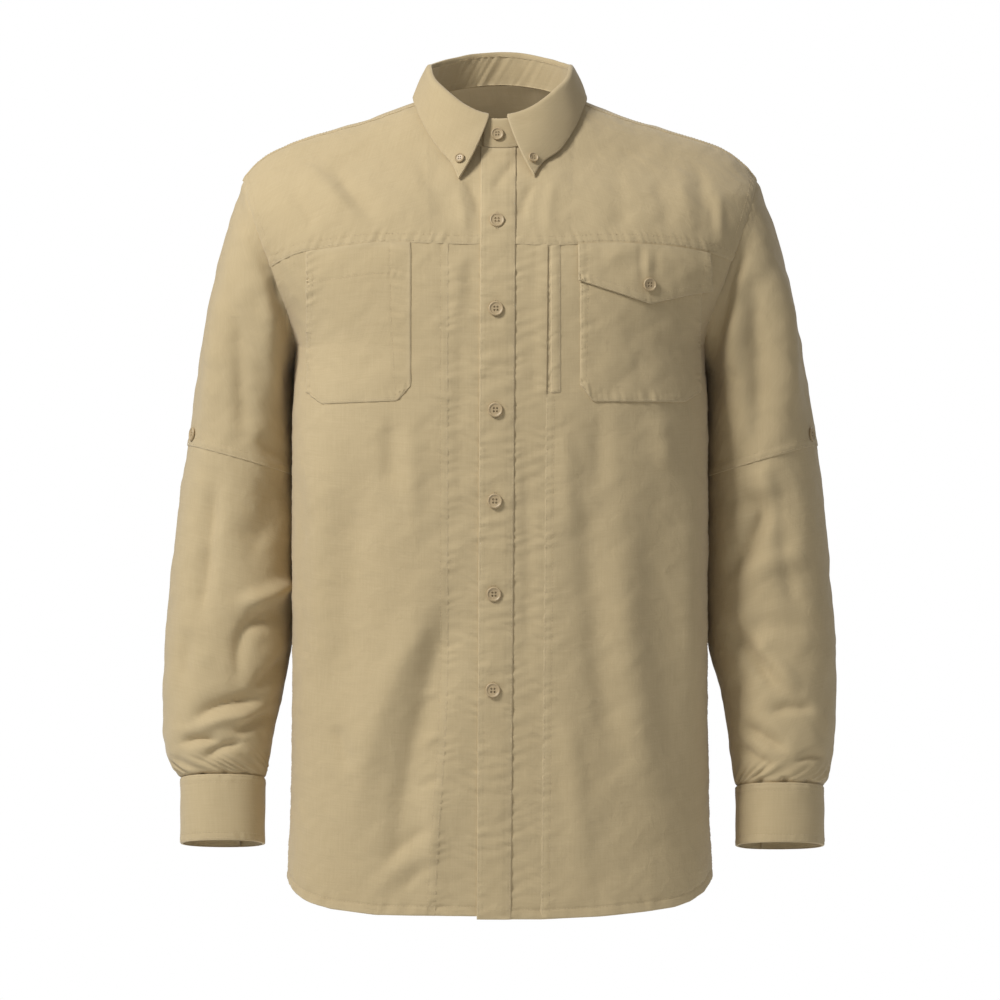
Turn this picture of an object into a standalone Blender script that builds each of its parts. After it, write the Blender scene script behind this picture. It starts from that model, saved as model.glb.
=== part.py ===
"""A long-sleeved field shirt, filled out as if worn, with nobody in it.

Every sewn piece is one closed wall of cloth. The pieces are the button band and the placket
over it, four front panels, two front yokes, the back yoke, the back, the collar stand and the
collar, two sleeves of two pieces each, two cuffs, two patch pockets, a flap and a pocket welt.
The buttons are separate. Lengths are millimetres until the meshes are made in metres.
The shirt faces -Y, +Z is up, and the origin lies in the neck opening.
"""

import math

import bpy
import mathutils
import numpy as np

# Cloth and gaps
MM = 0.001
CLOTH = 1.2
FIRM_CLOTH = 2.0
SEAM_GAP = 0.6
LAY_GAP = 0.4
PLACKET_GAP = 0.7

# Neck opening, on the body's surface
NECK_HALF_WIDTH = 72.0
NECK_SIDE_Z = 6.0
NECK_FRONT_DROP = 54.0
NECK_BACK_RISE = 16.0

# Shoulders and armholes
SHOULDER_ROUND = 110.0
SHOULDER_Z = -72.0
ARMPIT_Z = -235.0
ARMHOLE_FRONT = 70.0
ARMHOLE_BACK = 75.0
BODY_POWER = 2.6
SLEEVE_POWER = 2.2
BACK_YOKE_Z = -120.0

# Collar
STAND_HEIGHT = 28.5
STAND_LEAN = 9.0
STAND_LAP_LEVEL = 2.5
STAND_UNDER_END = 13.0
STAND_OVER_END = 15.5
STAND_CORNER = 7.0
STAND_FOOT = 1.7
FALL_CLOTH = 1.6

# Placket and fronts
PLACKET_LEFT = (-17.9, -21.6)
PLACKET_RIGHT = (15.1, 10.3)
FRONT_SEAM_LEFT = (-48.8, -48.8)
FRONT_SEAM_RIGHT = (46.3, 38.5)
FRONT_TOP_Z = -50.0
FRONT_HEM_Z = -774.0
FRONT_ROWS = (-165.0, -190.0, -220.0, -260.0, -305.0, -350.0, -400.0, -450.0, -500.0, -550.0,
              -600.0, -650.0, -700.0, -740.0)

# Cuffs
CUFF_LAP = 20.0
CUFF_LAP_LEVEL = 2.4
CUFF_LAP_TURN = 250.0

# Buttons
BUTTON_THICK = 2.4
BUTTON_HOLE = 1.9
BUTTON_LIFT = 0.4

# The ridge of the shoulder as seen from the front: distance from the middle, height
RIDGE = (
    (-20, 33.8), (0, 36.5), (20, 33.8), (40, 25.6), (60, 13.6), (72, 6.0), (80, 3.0), (92, -2.0), (104, -6.7),
    (130, -16.0), (149, -21.2), (164, -26.0), (206, -40.0), (231, -55.0), (245, -71.0),
    (252, -84.0), (262, -112.0),
)

# The armhole seam as seen from the front: height, distance from the middle
ARMHOLE = (
    (-235, 196.0), (-228, 196.4), (-213, 198.6), (-194, 203.8), (-176, 210.6),
    (-152, 219.2), (-134, 226.0), (-102, 236.8), (-72, 245.0),
)

# The body by height: side_y, front_y and back_y on the middle line, half_width below the arm
BODY_COLUMNS = ("height", "side_y", "front_y", "back_y", "half_width")
BODY = (
    (-800, -20, -120, 119, 203.5),
    (-742, -20, -122, 119, 202.5),
    (-650, -20, -127, 117, 199.0),
    (-515, -20, -130, 115, 198.0),
    (-400, -20, -130, 116, 198.5),
    (-300, -12, -129, 120, 198.5),
    (-235, 0, -126, 123, 196.0),
    (-190, 7, -123, 125, 196.0),
    (-133, 10, -112, 127, 196.0),
    (-90, 10, -95, 124, 196.0),
    (-48, 10, -73, 119, 196.0),
    (36, 10, -64, 114, 196.0),
)

# Seam between yoke and front, and the front hem: place across, height
YOKE_SEAM = (
    (-203, -152.0), (-189, -145.5), (-150, -140.5), (-112, -137.5), (-21, -140.0),
    (13, -140.0), (45, -141.0), (103, -138.0), (150, -139.6), (189, -143.0), (203, -145.0),
)
FRONT_HEM = (
    (-203, -743.0), (-194, -754.0), (-182, -760.5), (-160, -766.0), (-117, -770.5),
    (-20, -771.0), (-15, -774.0), (38, -774.0), (96, -771.5), (136, -768.0),
    (165, -764.5), (180, -760.0), (194, -752.0), (203, -740.0),
)
BACK_HEM = ((0, -784.0), (100, -779.0), (150, -770.0), (180, -758.0), (203, -741.0))

# Bottom lines of the pockets and the flap: place across, height
RIGHT_POCKET_BOTTOM = ((-183, -279.0), (-168, -290.5), (-96, -288.0), (-83.5, -274.0))
LEFT_POCKET_BOTTOM = ((75, -273.0), (87, -288.8), (174, -288.8), (190, -279.0))
FLAP_BOTTOM = ((73, -175.5), (140.3, -196.6), (201, -181.4))

# Lower edge of the collar over half of the neck. part: 0 is a front end, 1 the middle of
# the back. The edge lies at x and depth, the square root of the height below the ridge,
# negative behind it, and stands lift above the cloth under it.
COLLAR_EDGE_COLUMNS = ("part", "x", "depth", "lift")
COLLAR_EDGE = (
    (0.00, 35.5, 10.05, 3.6),
    (0.10, 41.0, 9.55, 3.6),
    (0.26, 56.0, 8.25, 3.8),
    (0.40, 69.5, 6.20, 4.0),
    (0.51, 78.5, 4.00, 4.0),
    (0.60, 82.4, 1.40, 4.2),
    (0.70, 81.0, -1.30, 4.4),
    (0.84, 58.0, -3.80, 4.6),
    (1.00, 0.0, -5.00, 4.6),
    (1.16, -58.0, -3.80, 4.6),
)

# Rings down a sleeve, from the armhole to the cuff. Ring 6 is the elbow seam.
SLEEVE_COLUMNS = ("outer_x", "outer_z", "inner_x", "inner_z", "middle_y", "half_depth", "pitch")
RIGHT_SLEEVE = (
    (245.0, -72, 196.0, -235, 5, 72, 0),
    (257.0, -104, 199.5, -243, 8, 75, 0),
    (267.5, -140, 201.5, -252, 12, 77, 0),
    (277.0, -180, 202.0, -265, 16, 78, 0),
    (286.5, -227, 201.5, -288, 20, 77, 0),
    (294.0, -280, 200.5, -322, 23, 74, 1),
    (301.0, -328, 199.5, -357, 24, 71, 2),
    (308.0, -378, 199.5, -400, 22, 68, 3),
    (314.0, -425, 200.5, -440, 19, 66, 4),
    (319.0, -475, 201.5, -484, 15, 64, 5),
    (322.5, -520, 203.5, -525, 10, 61, 6),
    (323.8, -565, 209.5, -567, 5, 58, 7),
    (323.5, -600, 216.0, -601, 0, 55, 8),
    (320.5, -622, 219.5, -622, -4, 52, 8.5),
    (313.0, -638, 222.5, -638, -7, 47, 9),
    (305.5, -649, 225.5, -649, -9, 41.5, 9),
)
LEFT_SLEEVE = (
    (245.0, -72, 196.0, -235, 5, 72, 0),
    (258.5, -104, 199.5, -243, 8, 75, 0),
    (269.5, -140, 201.5, -252, 12, 77, 0),
    (280.0, -180, 202.0, -265, 16, 78, 0),
    (289.0, -227, 201.5, -288, 20, 77, 0),
    (298.0, -280, 200.5, -322, 23, 74, 1),
    (305.5, -328, 199.5, -359, 24, 71, 2),
    (311.5, -378, 199.5, -402, 22, 68, 3),
    (315.5, -425, 200.5, -442, 19, 66, 4),
    (319.5, -475, 201.5, -486, 15, 64, 5),
    (322.8, -520, 204.5, -527, 10, 61, 6),
    (323.3, -565, 213.0, -568, 5, 58, 7),
    (321.6, -602, 218.0, -603, 0, 55, 8),
    (318.5, -628, 222.0, -628, -4, 52, 8.5),
    (315.5, -646, 224.5, -646, -7, 47, 9),
    (309.5, -657, 226.5, -657, -9, 42.5, 9),
)
ELBOW_RING = 6
CUFF_COLUMNS = ("outer_x", "outer_z", "inner_x", "inner_z", "middle_y", "half_depth", "pitch")
RIGHT_CUFF = ((305.6, -649.4, 225.4, -649.4, -9, 41.5, 9), (305.0, -710, 226.0, -710, -14, 41, 8.5))
LEFT_CUFF = ((309.6, -657.4, 226.4, -657.4, -9, 42.5, 9), (309.5, -712, 226.6, -712, -14, 42, 8.5))

# The largest folds: face, x0, z0, x1, z1, half_width and depth. Each runs from (x0, z0) to
# (x1, z1) as seen from the front; face is -1 on the front and 1 on the back; depth is
# positive for a ridge and negative for a trough.
FOLDS = (
    (-1, -127, -409, -158, -611, 22, -3.5),
    (-1, -66, -465, -139, -700, 20, 3.0),
    (-1, -56, -494, -108, -715, 17, -4.0),
    (-1, 80, -390, 113, -640, 20, -3.5),
    (-1, 108, -423, 146, -663, 22, 3.0),
    (-1, 141, -409, 178, -690, 20, -3.0),
    (-1, -160, -62, -113, -123, 13, -2.0),
    (-1, 150, -60, 168, -128, 14, -2.0),
    (1, -120, -190, -95, -640, 26, -4.0),
    (1, -30, -240, -45, -700, 26, 3.0),
    (1, 70, -200, 60, -690, 28, -4.0),
    (1, 140, -230, 150, -620, 24, 3.0),
    (-1, -264, -323, -273, -500, 13, -5.0),
    (-1, -213, -480, -262, -530, 13, 4.0),
    (-1, -222, -505, -268, -560, 13, -4.0),
    (-1, -299, -590, -221, -576, 9, -4.5),
    (-1, -311, -613, -235, -606, 8, -4.0),
    (-1, 213, -386, 262, -393, 13, -5.0),
    (-1, 216, -506, 271, -566, 12, -4.5),
    (-1, 235, -594, 280, -620, 9, -4.5),
    (-1, 254, -583, 305, -577, 9, -3.5),
    (1, -285, -390, -225, -420, 15, -4.0),
    (1, -300, -560, -235, -590, 12, -4.5),
    (1, 285, -400, 230, -430, 15, -4.0),
    (1, 300, -570, 240, -600, 12, -4.5),
)

# Buttons on the placket: place across, height
FRONT_BUTTONS = (
    (-2.8, -118.4), (-3.8, -202.0), (-4.2, -296.7), (-4.7, -382.0), (-5.6, -469.0),
    (-6.6, -559.0),
)


def column(table, names, name):
    """One named column of a table, as an array."""
    return np.array([row[names.index(name)] for row in table], float)


def smooth(xs, ys, at):
    """A curve through the points with no overshoot. The xs rise."""
    xs = np.asarray(xs, float)
    ys = np.asarray(ys, float)
    step = np.diff(xs)
    slope = np.diff(ys) / step
    before, after = slope[:-1], slope[1:]
    same = before * after > 0
    weight_a = 2 * step[1:] + step[:-1]
    weight_b = step[1:] + 2 * step[:-1]
    safe_before = np.where(same, before, 1.0)
    safe_after = np.where(same, after, 1.0)
    mean = (weight_a + weight_b) / (weight_a / safe_before + weight_b / safe_after)
    tangent = np.zeros_like(ys)
    tangent[1:-1] = np.where(same, mean, 0.0)
    tangent[0] = slope[0]
    tangent[-1] = slope[-1]
    at = np.clip(np.asarray(at, float), xs[0], xs[-1])
    k = np.clip(np.searchsorted(xs, at, side="right") - 1, 0, len(step) - 1)
    t = (at - xs[k]) / step[k]
    return (
        (1 + 2 * t) * (1 - t) ** 2 * ys[k]
        + t * (1 - t) ** 2 * step[k] * tangent[k]
        + t * t * (3 - 2 * t) * ys[k + 1]
        + t * t * (t - 1) * step[k] * tangent[k + 1]
    )


def pairs(table, at):
    """A smooth curve through a table of two columns."""
    xs, ys = zip(*table)
    return smooth(xs, ys, at)


def straight(table, at):
    """Straight lines between the rows of a table of two columns."""
    xs, ys = zip(*table)
    return np.interp(at, xs, ys)


def ease(t):
    """0 to 1 with level ends."""
    t = np.clip(t, 0.0, 1.0)
    return t * t * (3 - 2 * t)


def body(name, z):
    """A named size of the body at this height."""
    heights = column(BODY, BODY_COLUMNS, "height")
    return smooth(heights, column(BODY, BODY_COLUMNS, name), z)


def body_depth(z, face):
    """How far the middle line of the front or back stands from the side line."""
    name = "front_y" if face < 0 else "back_y"
    return face * (body(name, z) - body("side_y", z))


def ridge(x):
    """Height of the shoulder's ridge at this distance from the middle."""
    return pairs(RIDGE, np.abs(x))


def armhole_x(z):
    """Distance of the armhole seam from the middle at this height."""
    return pairs(ARMHOLE, z)


def rounding(below_ridge):
    """How much of the body's depth is reached this far below the ridge."""
    k = np.clip(below_ridge / SHOULDER_ROUND, 0.0, 1.0)
    return np.sqrt(np.clip(1 - (1 - k) ** 2, 0.0, 1.0))


def half_width(z, face):
    """Half of the body's width. Above the armpit it makes the armhole an oval seen from the side."""
    below = body("half_width", z)
    high = np.clip(z, ARMPIT_Z, -90.0)
    middle = (SHOULDER_Z + ARMPIT_Z) / 2
    half = (SHOULDER_Z - ARMPIT_Z) / 2
    reach = np.sqrt(np.clip(1 - ((high - middle) / half) ** 2, 0.0, 1.0))
    reach = reach * (ARMHOLE_FRONT if face < 0 else ARMHOLE_BACK)
    seam = armhole_x(high)
    full = body_depth(high, face) * rounding(ridge(seam) - high)
    part = np.clip(reach / full, 0.0, 0.97)
    above = seam / (1 - part**BODY_POWER) ** (1 / BODY_POWER)
    return np.where(z > ARMPIT_Z, above, below)


def body_y(x, z, face):
    """Where the body's surface lies, front to back, at this place of the front view."""
    across = np.clip(1 - (np.abs(x) / half_width(z, face)) ** BODY_POWER, 0.0, 1.0)
    across = across ** (1 / BODY_POWER)
    return body("side_y", z) + face * body_depth(z, face) * across * rounding(ridge(x) - z)


def body_points(x, z, face):
    """Points of the body's surface."""
    x, z = np.broadcast_arrays(np.asarray(x, float), np.asarray(z, float))
    return np.stack([x, body_y(x, z, face), z], axis=-1)


def over_shoulder(x, depth):
    """Points by x and depth: the root of the height below the ridge, negative behind it."""
    x, depth = np.broadcast_arrays(np.asarray(x, float), np.asarray(depth, float))
    z = ridge(x) - depth**2
    y = np.where(depth >= 0, body_y(x, z, -1), body_y(x, z, 1))
    return np.stack([x, y, z], axis=-1)


def folded(points, centre_x=0.0, centre_y=None):
    """The points moved out or in by the folds that cross them."""
    x, y, z = points[..., 0], points[..., 1], points[..., 2]
    if centre_y is None:
        centre_y = body("side_y", z) + 10.0
    out = np.stack([(x - centre_x) / 1.6, (y - centre_y), np.zeros_like(x)], axis=-1)
    out /= np.maximum(np.linalg.norm(out, axis=-1, keepdims=True), 1e-6)
    shift = np.zeros_like(x)
    for face, x0, z0, x1, z1, width, depth in FOLDS:
        length = math.hypot(x1 - x0, z1 - z0)
        along = ((x - x0) * (x1 - x0) + (z - z0) * (z1 - z0)) / length**2
        aside = ((x - x0) * (z1 - z0) - (z - z0) * (x1 - x0)) / length
        fade = ease((along + 0.15) / 0.4) * ease((1.15 - along) / 0.4)
        facing = ease(face * out[..., 1] * 2.5)
        shift += depth * np.exp(-((aside / width) ** 2)) * fade * facing
    return points + out * shift[..., None]


def unit(vectors):
    """Vectors of length one."""
    return vectors / np.maximum(np.linalg.norm(vectors, axis=-1, keepdims=True), 1e-9)


def grid_normals(points, closed=False):
    """Outward normals of a grid of points. Rows run along axis 0 and columns along axis 1."""
    if closed:
        along = np.roll(points, -1, axis=1) - np.roll(points, 1, axis=1)
    else:
        along = np.gradient(points, axis=1)
    return unit(np.cross(along, np.gradient(points, axis=0)))


def trimmed(points, top=0.0, bottom=0.0, first=0.0, last=0.0):
    """The grid with its border rows and columns drawn in by these distances."""
    points = points.copy()
    points[0] += unit(points[1] - points[0]) * top
    points[-1] += unit(points[-2] - points[-1]) * bottom
    points[:, 0] += unit(points[:, 1] - points[:, 0]) * first
    points[:, -1] += unit(points[:, -2] - points[:, -1]) * last
    return points


def add_object(name, points, faces, material, smooth_faces=True):
    """A mesh object from millimetre points, with its faces turned outwards."""
    mesh = bpy.data.meshes.new(name)
    mesh.from_pydata([tuple(p) for p in np.asarray(points, float) * MM], [], faces)
    mesh.materials.append(material)
    mesh.polygons.foreach_set("use_smooth", [smooth_faces] * len(mesh.polygons))
    mesh.update()
    obj = bpy.data.objects.new(name, mesh)
    bpy.context.scene.collection.objects.link(obj)
    return obj


def wall(name, points, material, lift=0.0, thick=CLOTH, closed=False, normals=None):
    """A sheet of cloth on a grid of points, as one closed wall that ends at its borders."""
    rows, columns = points.shape[:2]
    if normals is None:
        normals = grid_normals(points, closed)
    outer = points + normals * (lift + thick)
    inner = points + normals * lift
    count = rows * columns
    everything = np.concatenate([outer.reshape(-1, 3), inner.reshape(-1, 3)])
    faces = []
    wraps = columns if closed else columns - 1
    for i in range(rows - 1):
        for j in range(wraps):
            k = (j + 1) % columns
            a, b = i * columns + j, i * columns + k
            c, d = (i + 1) * columns + k, (i + 1) * columns + j
            faces.append((a, b, c, d))
            faces.append((count + a, count + d, count + c, count + b))
    for j in range(wraps):
        k = (j + 1) % columns
        faces.append((k, j, count + j, count + k))
        a, b = (rows - 1) * columns + j, (rows - 1) * columns + k
        faces.append((a, b, count + b, count + a))
    if not closed:
        for i in range(rows - 1):
            a, b = i * columns, (i + 1) * columns
            faces.append((a, b, count + b, count + a))
            a, b = (i + 1) * columns - 1, (i + 2) * columns - 1
            faces.append((b, a, count + a, count + b))
    obj = add_object(name, everything, faces, material)
    turn_outwards(obj)
    return obj


def turn_outwards(obj):
    """Flips a mesh whose faces point inwards."""
    mesh = obj.data
    mesh.calc_loop_triangles()
    volume = 0.0
    for triangle in mesh.loop_triangles:
        a, b, c = (mesh.vertices[i].co for i in triangle.vertices)
        volume += a.dot(b.cross(c))
    if volume < 0:
        mesh.flip_normals()


def along_row(x_from, x_to, z, face, parts):
    """Points of one row of the body, at equal parts of its length between two places."""
    turn = np.linspace(0.0, 1.0, 160)
    if x_from * x_to < 0:
        x = x_from + (x_to - x_from) * (1 - np.cos(math.pi * turn)) / 2
    else:
        x = x_from + (x_to - x_from) * np.sin(math.pi / 2 * turn)
    fine = body_points(x, np.full_like(x, z), face)
    steps = np.linalg.norm(np.diff(fine, axis=0), axis=1)
    length = np.concatenate([[0.0], np.cumsum(steps)])
    at = np.asarray(parts, float) * length[-1]
    return np.stack([np.interp(at, length, fine[:, i]) for i in range(3)], axis=-1)


def side_edge(z):
    """Distance of a panel's outer edge from the middle: the armhole, then the side seam."""
    return armhole_x(z) if z > ARMPIT_Z else float(half_width(np.array(z), -1))


def leaning(ends, z):
    """A line across the front that drifts evenly from its top place to its hem place."""
    part = (np.asarray(z, float) - FRONT_TOP_Z) / (FRONT_HEM_Z - FRONT_TOP_Z)
    return ends[0] + (ends[1] - ends[0]) * part


def rows_between(lines, counts):
    """Row lines, each a blend of the two key lines around it. A line is a function of x."""
    rows = [lines[0]]
    for start, end, count in zip(lines, lines[1:], counts):
        for i in range(1, count + 1):
            part = i / count
            rows.append(lambda x, s=start, e=end, p=part: s(x) * (1 - p) + e(x) * p)
    return rows


def front_side_grid(sign, lines, counts, inner_lines, pocket_x, outer_parts):
    """Grid of a front side panel: columns at set places, then along the curve to its edge."""
    grid = []
    for row in rows_between(lines, counts):
        z_edge = float(row(sign * 203.0))
        points = []
        for line in inner_lines:
            z = float(row(line(-200.0)))
            x = line(z)
            points.append(body_points(x, float(row(x)), -1))
        start = sign * min(pocket_x, side_edge(z_edge) - 6.0)
        points.append(body_points(start, float(row(start)), -1))
        end = sign * side_edge(z_edge)
        points.extend(along_row(start, end, z_edge, -1, outer_parts))
        grid.append(points)
    return np.array(grid)


def build_fronts(cloth):
    """The four front panels, the patch pockets, the flap and the welt."""
    seam = lambda x: pairs(YOKE_SEAM, x)
    hem = lambda x: straight(FRONT_HEM, x)
    places = (-83.5, -96.0, -120.0, -145.0, -168.0)
    inner = [lambda z: leaning(FRONT_SEAM_LEFT, z)] + [lambda z, x=x: x for x in places]
    grid = front_side_grid(
        -1,
        [seam, lambda x: straight(RIGHT_POCKET_BOTTOM, x), hem],
        [6, 13],
        inner,
        183.0,
        (0.25, 0.5, 0.75, 1.0),
    )
    grid = folded(trimmed(grid[:, ::-1], SEAM_GAP / 2, 0.0, SEAM_GAP / 2, SEAM_GAP / 2))
    normals = -grid_normals(grid)
    add_cloth("front_right_side", grid, normals, cloth)
    pocket = (slice(0, 7), slice(4, 10))
    add_cloth("pocket_right", grid[pocket], normals[pocket], cloth, 1)

    places = (48.0, 56.4, 73.5, 106.0, 140.3, 158.0, 174.0, 185.0)
    inner = [lambda z: leaning(FRONT_SEAM_RIGHT, z)]
    inner += [lambda z, x=x: x for x in places]
    grid = front_side_grid(
        1,
        [
            seam,
            lambda x: straight(FLAP_BOTTOM, x),
            lambda x: straight(LEFT_POCKET_BOTTOM, x),
            hem,
        ],
        [3, 4, 13],
        inner,
        194.5,
        (0.33, 0.66, 1.0),
    )
    grid = folded(trimmed(grid, SEAM_GAP / 2, 0.0, SEAM_GAP / 2, SEAM_GAP / 2))
    normals = -grid_normals(grid)
    add_cloth("front_left_side", grid, normals, cloth)
    pocket = (slice(0, 8), slice(3, 10))
    add_cloth("pocket_left", grid[pocket], normals[pocket], cloth, 1)
    flap = (slice(0, 4), slice(3, 11))
    add_cloth("pocket_flap", grid[flap], normals[flap], cloth, 2)
    welt = (slice(0, 8), slice(1, 3))
    add_cloth("pocket_welt", grid[welt], normals[welt], cloth, 1)
    flap_grid = grid[flap] + normals[flap] * layer(3)

    for name, first, last in (
        ("front_right_centre", FRONT_SEAM_LEFT, PLACKET_LEFT),
        ("front_left_centre", PLACKET_RIGHT, FRONT_SEAM_RIGHT),
    ):
        strip = []
        for level in (-140.0,) + FRONT_ROWS + (FRONT_HEM_Z,):
            row = []
            for across in (0.0, 0.5, 1.0):
                x = leaning(first, level) * (1 - across) + leaning(last, level) * across
                if level == -140.0:
                    z = float(pairs(YOKE_SEAM, x))
                elif level == FRONT_HEM_Z:
                    z = float(straight(FRONT_HEM, x))
                else:
                    z = level
                row.append(body_points(x, z, -1))
            strip.append(row)
        strip = trimmed(np.array(strip), SEAM_GAP / 2, 0.0, SEAM_GAP / 2, SEAM_GAP / 2)
        strip = folded(strip)
        add_cloth(name, strip, -grid_normals(strip), cloth)
    return flap_grid


def layer(count):
    """How far out the outer face of this many sheets lies."""
    return count * (CLOTH + LAY_GAP)


def add_cloth(name, grid, normals, material, level=0, closed=False):
    """A sheet of cloth, this many sheets above the body's own."""
    return wall(name, grid, material, layer(level) - CLOTH, CLOTH, closed, normals)


def build_placket(cloth):
    """The button band on the body's surface and the placket over it."""
    grid = []
    for level in (FRONT_TOP_Z, -68.0, -90.0, -115.0, -140.0) + FRONT_ROWS + (FRONT_HEM_Z,):
        row = []
        for across in (0.0, 0.5, 1.0):
            x = leaning(PLACKET_LEFT, level) * (1 - across)
            x += leaning(PLACKET_RIGHT, level) * across
            z = float(neck_front_z(x)) if level == FRONT_TOP_Z else level
            row.append(body_points(x, z, -1))
        grid.append(row)
    grid = folded(np.array(grid))
    band = trimmed(grid, SEAM_GAP / 2, 3.0, SEAM_GAP + 0.3, SEAM_GAP + 0.3)
    add_cloth("button_band", band, -grid_normals(grid), cloth)
    over = trimmed(grid, 1.0, 0.0, -0.5, -0.5)
    wall("placket", over, cloth, PLACKET_GAP, CLOTH, normals=-grid_normals(grid))
    return over, -grid_normals(grid)


def neck_front_z(x):
    """Height of the neck opening's front edge."""
    part = np.clip(np.abs(x) / NECK_HALF_WIDTH, 0.0, 1.0)
    return NECK_SIDE_Z - NECK_FRONT_DROP * np.sqrt(1 - part**2)


def neck_back_z(x):
    """Height of the neck opening's back edge."""
    return NECK_SIDE_Z + NECK_BACK_RISE * (1 - (np.asarray(x) / NECK_HALF_WIDTH) ** 2)


def shoulder_seam_depth(x):
    """The shoulder seam lies a little in front of the ridge."""
    return np.interp(np.abs(x), (NECK_HALF_WIDTH, 240.0), (2.5, 1.5))


def armhole_at_depth(depth):
    """The armhole's x for a depth below the ridge, on either side of it."""
    heights = np.linspace(SHOULDER_Z + 1.0, ARMPIT_Z, 400)
    below = ridge(armhole_x(heights)) - heights
    depths = np.sqrt(np.clip(below, 0.0, None))
    return armhole_x(np.interp(np.abs(depth), depths, heights))


def yoke_grid(top_x, top_depth, bottom_x, bottom_depth, rows):
    """Grid from a top path to a bottom path. The last column follows the armhole."""
    grid = []
    out_top = armhole_at_depth(top_depth[-1])
    out_bottom = armhole_at_depth(bottom_depth[-1])
    for part in np.linspace(0.0, 1.0, rows):
        depth = top_depth * (1 - part) + bottom_depth * part
        share = (armhole_at_depth(depth[-1]) - out_top) / (out_bottom - out_top)
        x = top_x * (1 - share) + bottom_x * share
        grid.append(over_shoulder(x, depth))
    return np.array(grid)


def build_yokes(cloth):
    """The two front yokes and the back yoke over both shoulders."""
    seam_x = 71.6
    top_seam = np.linspace(seam_x, 244.0, 10)
    for name, sign, placket in (
        ("front_yoke_right", -1, -leaning(PLACKET_LEFT, -90.0)),
        ("front_yoke_left", 1, leaning(PLACKET_RIGHT, -90.0)),
    ):
        neck_x = np.array([placket, placket + 13, placket + 27, 58.0, 67.0])
        neck_depth = np.sqrt(ridge(neck_x) - neck_front_z(neck_x))
        top_x = np.concatenate([neck_x, top_seam])
        top_depth = np.concatenate([neck_depth, shoulder_seam_depth(top_seam)])
        edge_z = float(pairs(YOKE_SEAM, sign * 220.0))
        share = (top_x - top_x[0]) / (top_x[-1] - top_x[0])
        bottom_x = top_x[0] + (armhole_x(edge_z) - top_x[0]) * share
        seam_z = pairs(YOKE_SEAM, sign * bottom_x)
        bottom_depth = np.sqrt(ridge(bottom_x) - seam_z)
        top_x[-1] = armhole_at_depth(top_depth[-1])
        bottom_x[-1] = armhole_at_depth(bottom_depth[-1])
        grid = yoke_grid(top_x, top_depth, bottom_x, bottom_depth, 9)
        grid[..., 0] *= sign
        gap = SEAM_GAP / 2
        grid = folded(trimmed(grid, gap, gap, gap + 0.3, gap))
        normals = grid_normals(grid) * -sign
        add_cloth(name, grid, normals, cloth)

    back_x = np.array([0.0, 15.0, 30.0, 44.0, 58.0])
    back_depth = -np.sqrt(ridge(back_x) - neck_back_z(back_x))
    top_x = np.concatenate([back_x, top_seam])
    top_depth = np.concatenate([back_depth, shoulder_seam_depth(top_seam)])
    bottom_x = top_x * armhole_x(BACK_YOKE_Z) / top_x[-1]
    bottom_depth = -np.sqrt(ridge(bottom_x) - BACK_YOKE_Z)
    top_x[-1] = armhole_at_depth(top_depth[-1])
    bottom_x[-1] = armhole_at_depth(bottom_depth[-1])
    half = yoke_grid(top_x, top_depth, bottom_x, bottom_depth, 10)
    mirrored = half[:, :0:-1] * np.array([-1.0, 1.0, 1.0])
    grid = np.concatenate([mirrored, half], axis=1)
    gap = SEAM_GAP / 2
    grid = folded(trimmed(grid, gap, gap, gap, gap))
    add_cloth("back_yoke", grid, -grid_normals(grid), cloth)


def build_back(cloth):
    """The back, from the yoke seam to the hem."""
    parts = np.linspace(0.0, 1.0, 23)
    high = np.array([-120, -145, -170, -195, -215, -229, -238.0])
    low = np.linspace(-265, -741, 13)
    grid = []
    for z in np.concatenate([high, low]):
        edge = side_edge(z)
        grid.append(along_row(-edge, edge, z, 1, parts))
    grid = np.array(grid)
    share = ease((grid[..., 2] + 520.0) / -221.0)
    hem = straight(BACK_HEM, np.abs(grid[..., 0]))
    grid[..., 2] += share * (hem + 741.0)
    gap = SEAM_GAP / 2
    grid = folded(trimmed(grid, gap, 0.0, gap, gap))
    add_cloth("back", grid, grid_normals(grid), cloth)


def sleeve_size(rings, columns, name, at):
    """A named size of a sleeve at a place between its rings."""
    return smooth(np.arange(len(rings), dtype=float), column(rings, columns, name), at)


def ring_points(rings, columns, at, turn, sign, hug=True):
    """Points round a sleeve. turn 0 is outermost, 90 the front, 180 innermost."""
    at, turn = np.broadcast_arrays(np.asarray(at, float), np.asarray(turn, float))
    size = {name: sleeve_size(rings, columns, name, at) for name in columns}
    cosine = np.cos(np.radians(turn))
    sine = np.sin(np.radians(turn))
    cosine = np.sign(cosine) * np.abs(cosine) ** (2 / SLEEVE_POWER)
    sine = np.sign(sine) * np.abs(sine) ** (2 / SLEEVE_POWER)
    middle_x = (size["outer_x"] + size["inner_x"]) / 2
    middle_z = (size["outer_z"] + size["inner_z"]) / 2
    x = middle_x + (size["outer_x"] - size["inner_x"]) / 2 * cosine
    z = middle_z + (size["outer_z"] - size["inner_z"]) / 2 * cosine
    pitch = np.radians(size["pitch"])
    y = size["middle_y"] - size["half_depth"] * np.cos(pitch) * sine
    z = z + size["half_depth"] * np.sin(pitch) * sine
    if hug:
        first_z = (SHOULDER_Z + ARMPIT_Z) / 2 + (SHOULDER_Z - ARMPIT_Z) / 2 * cosine
        seam_x = armhole_x(first_z)
        seam_y = np.where(sine >= 0, body_y(seam_x, first_z, -1), body_y(seam_x, first_z, 1))
        plain_x = 220.5 + 24.5 * cosine
        plain_y = 5.0 - 72.0 * sine
        keep = 1 - ease(at / 3.0)
        x = x + keep * (seam_x - plain_x)
        y = y + keep * (seam_y - plain_y)
    return np.stack([sign * x, y, z], axis=-1)


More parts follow.
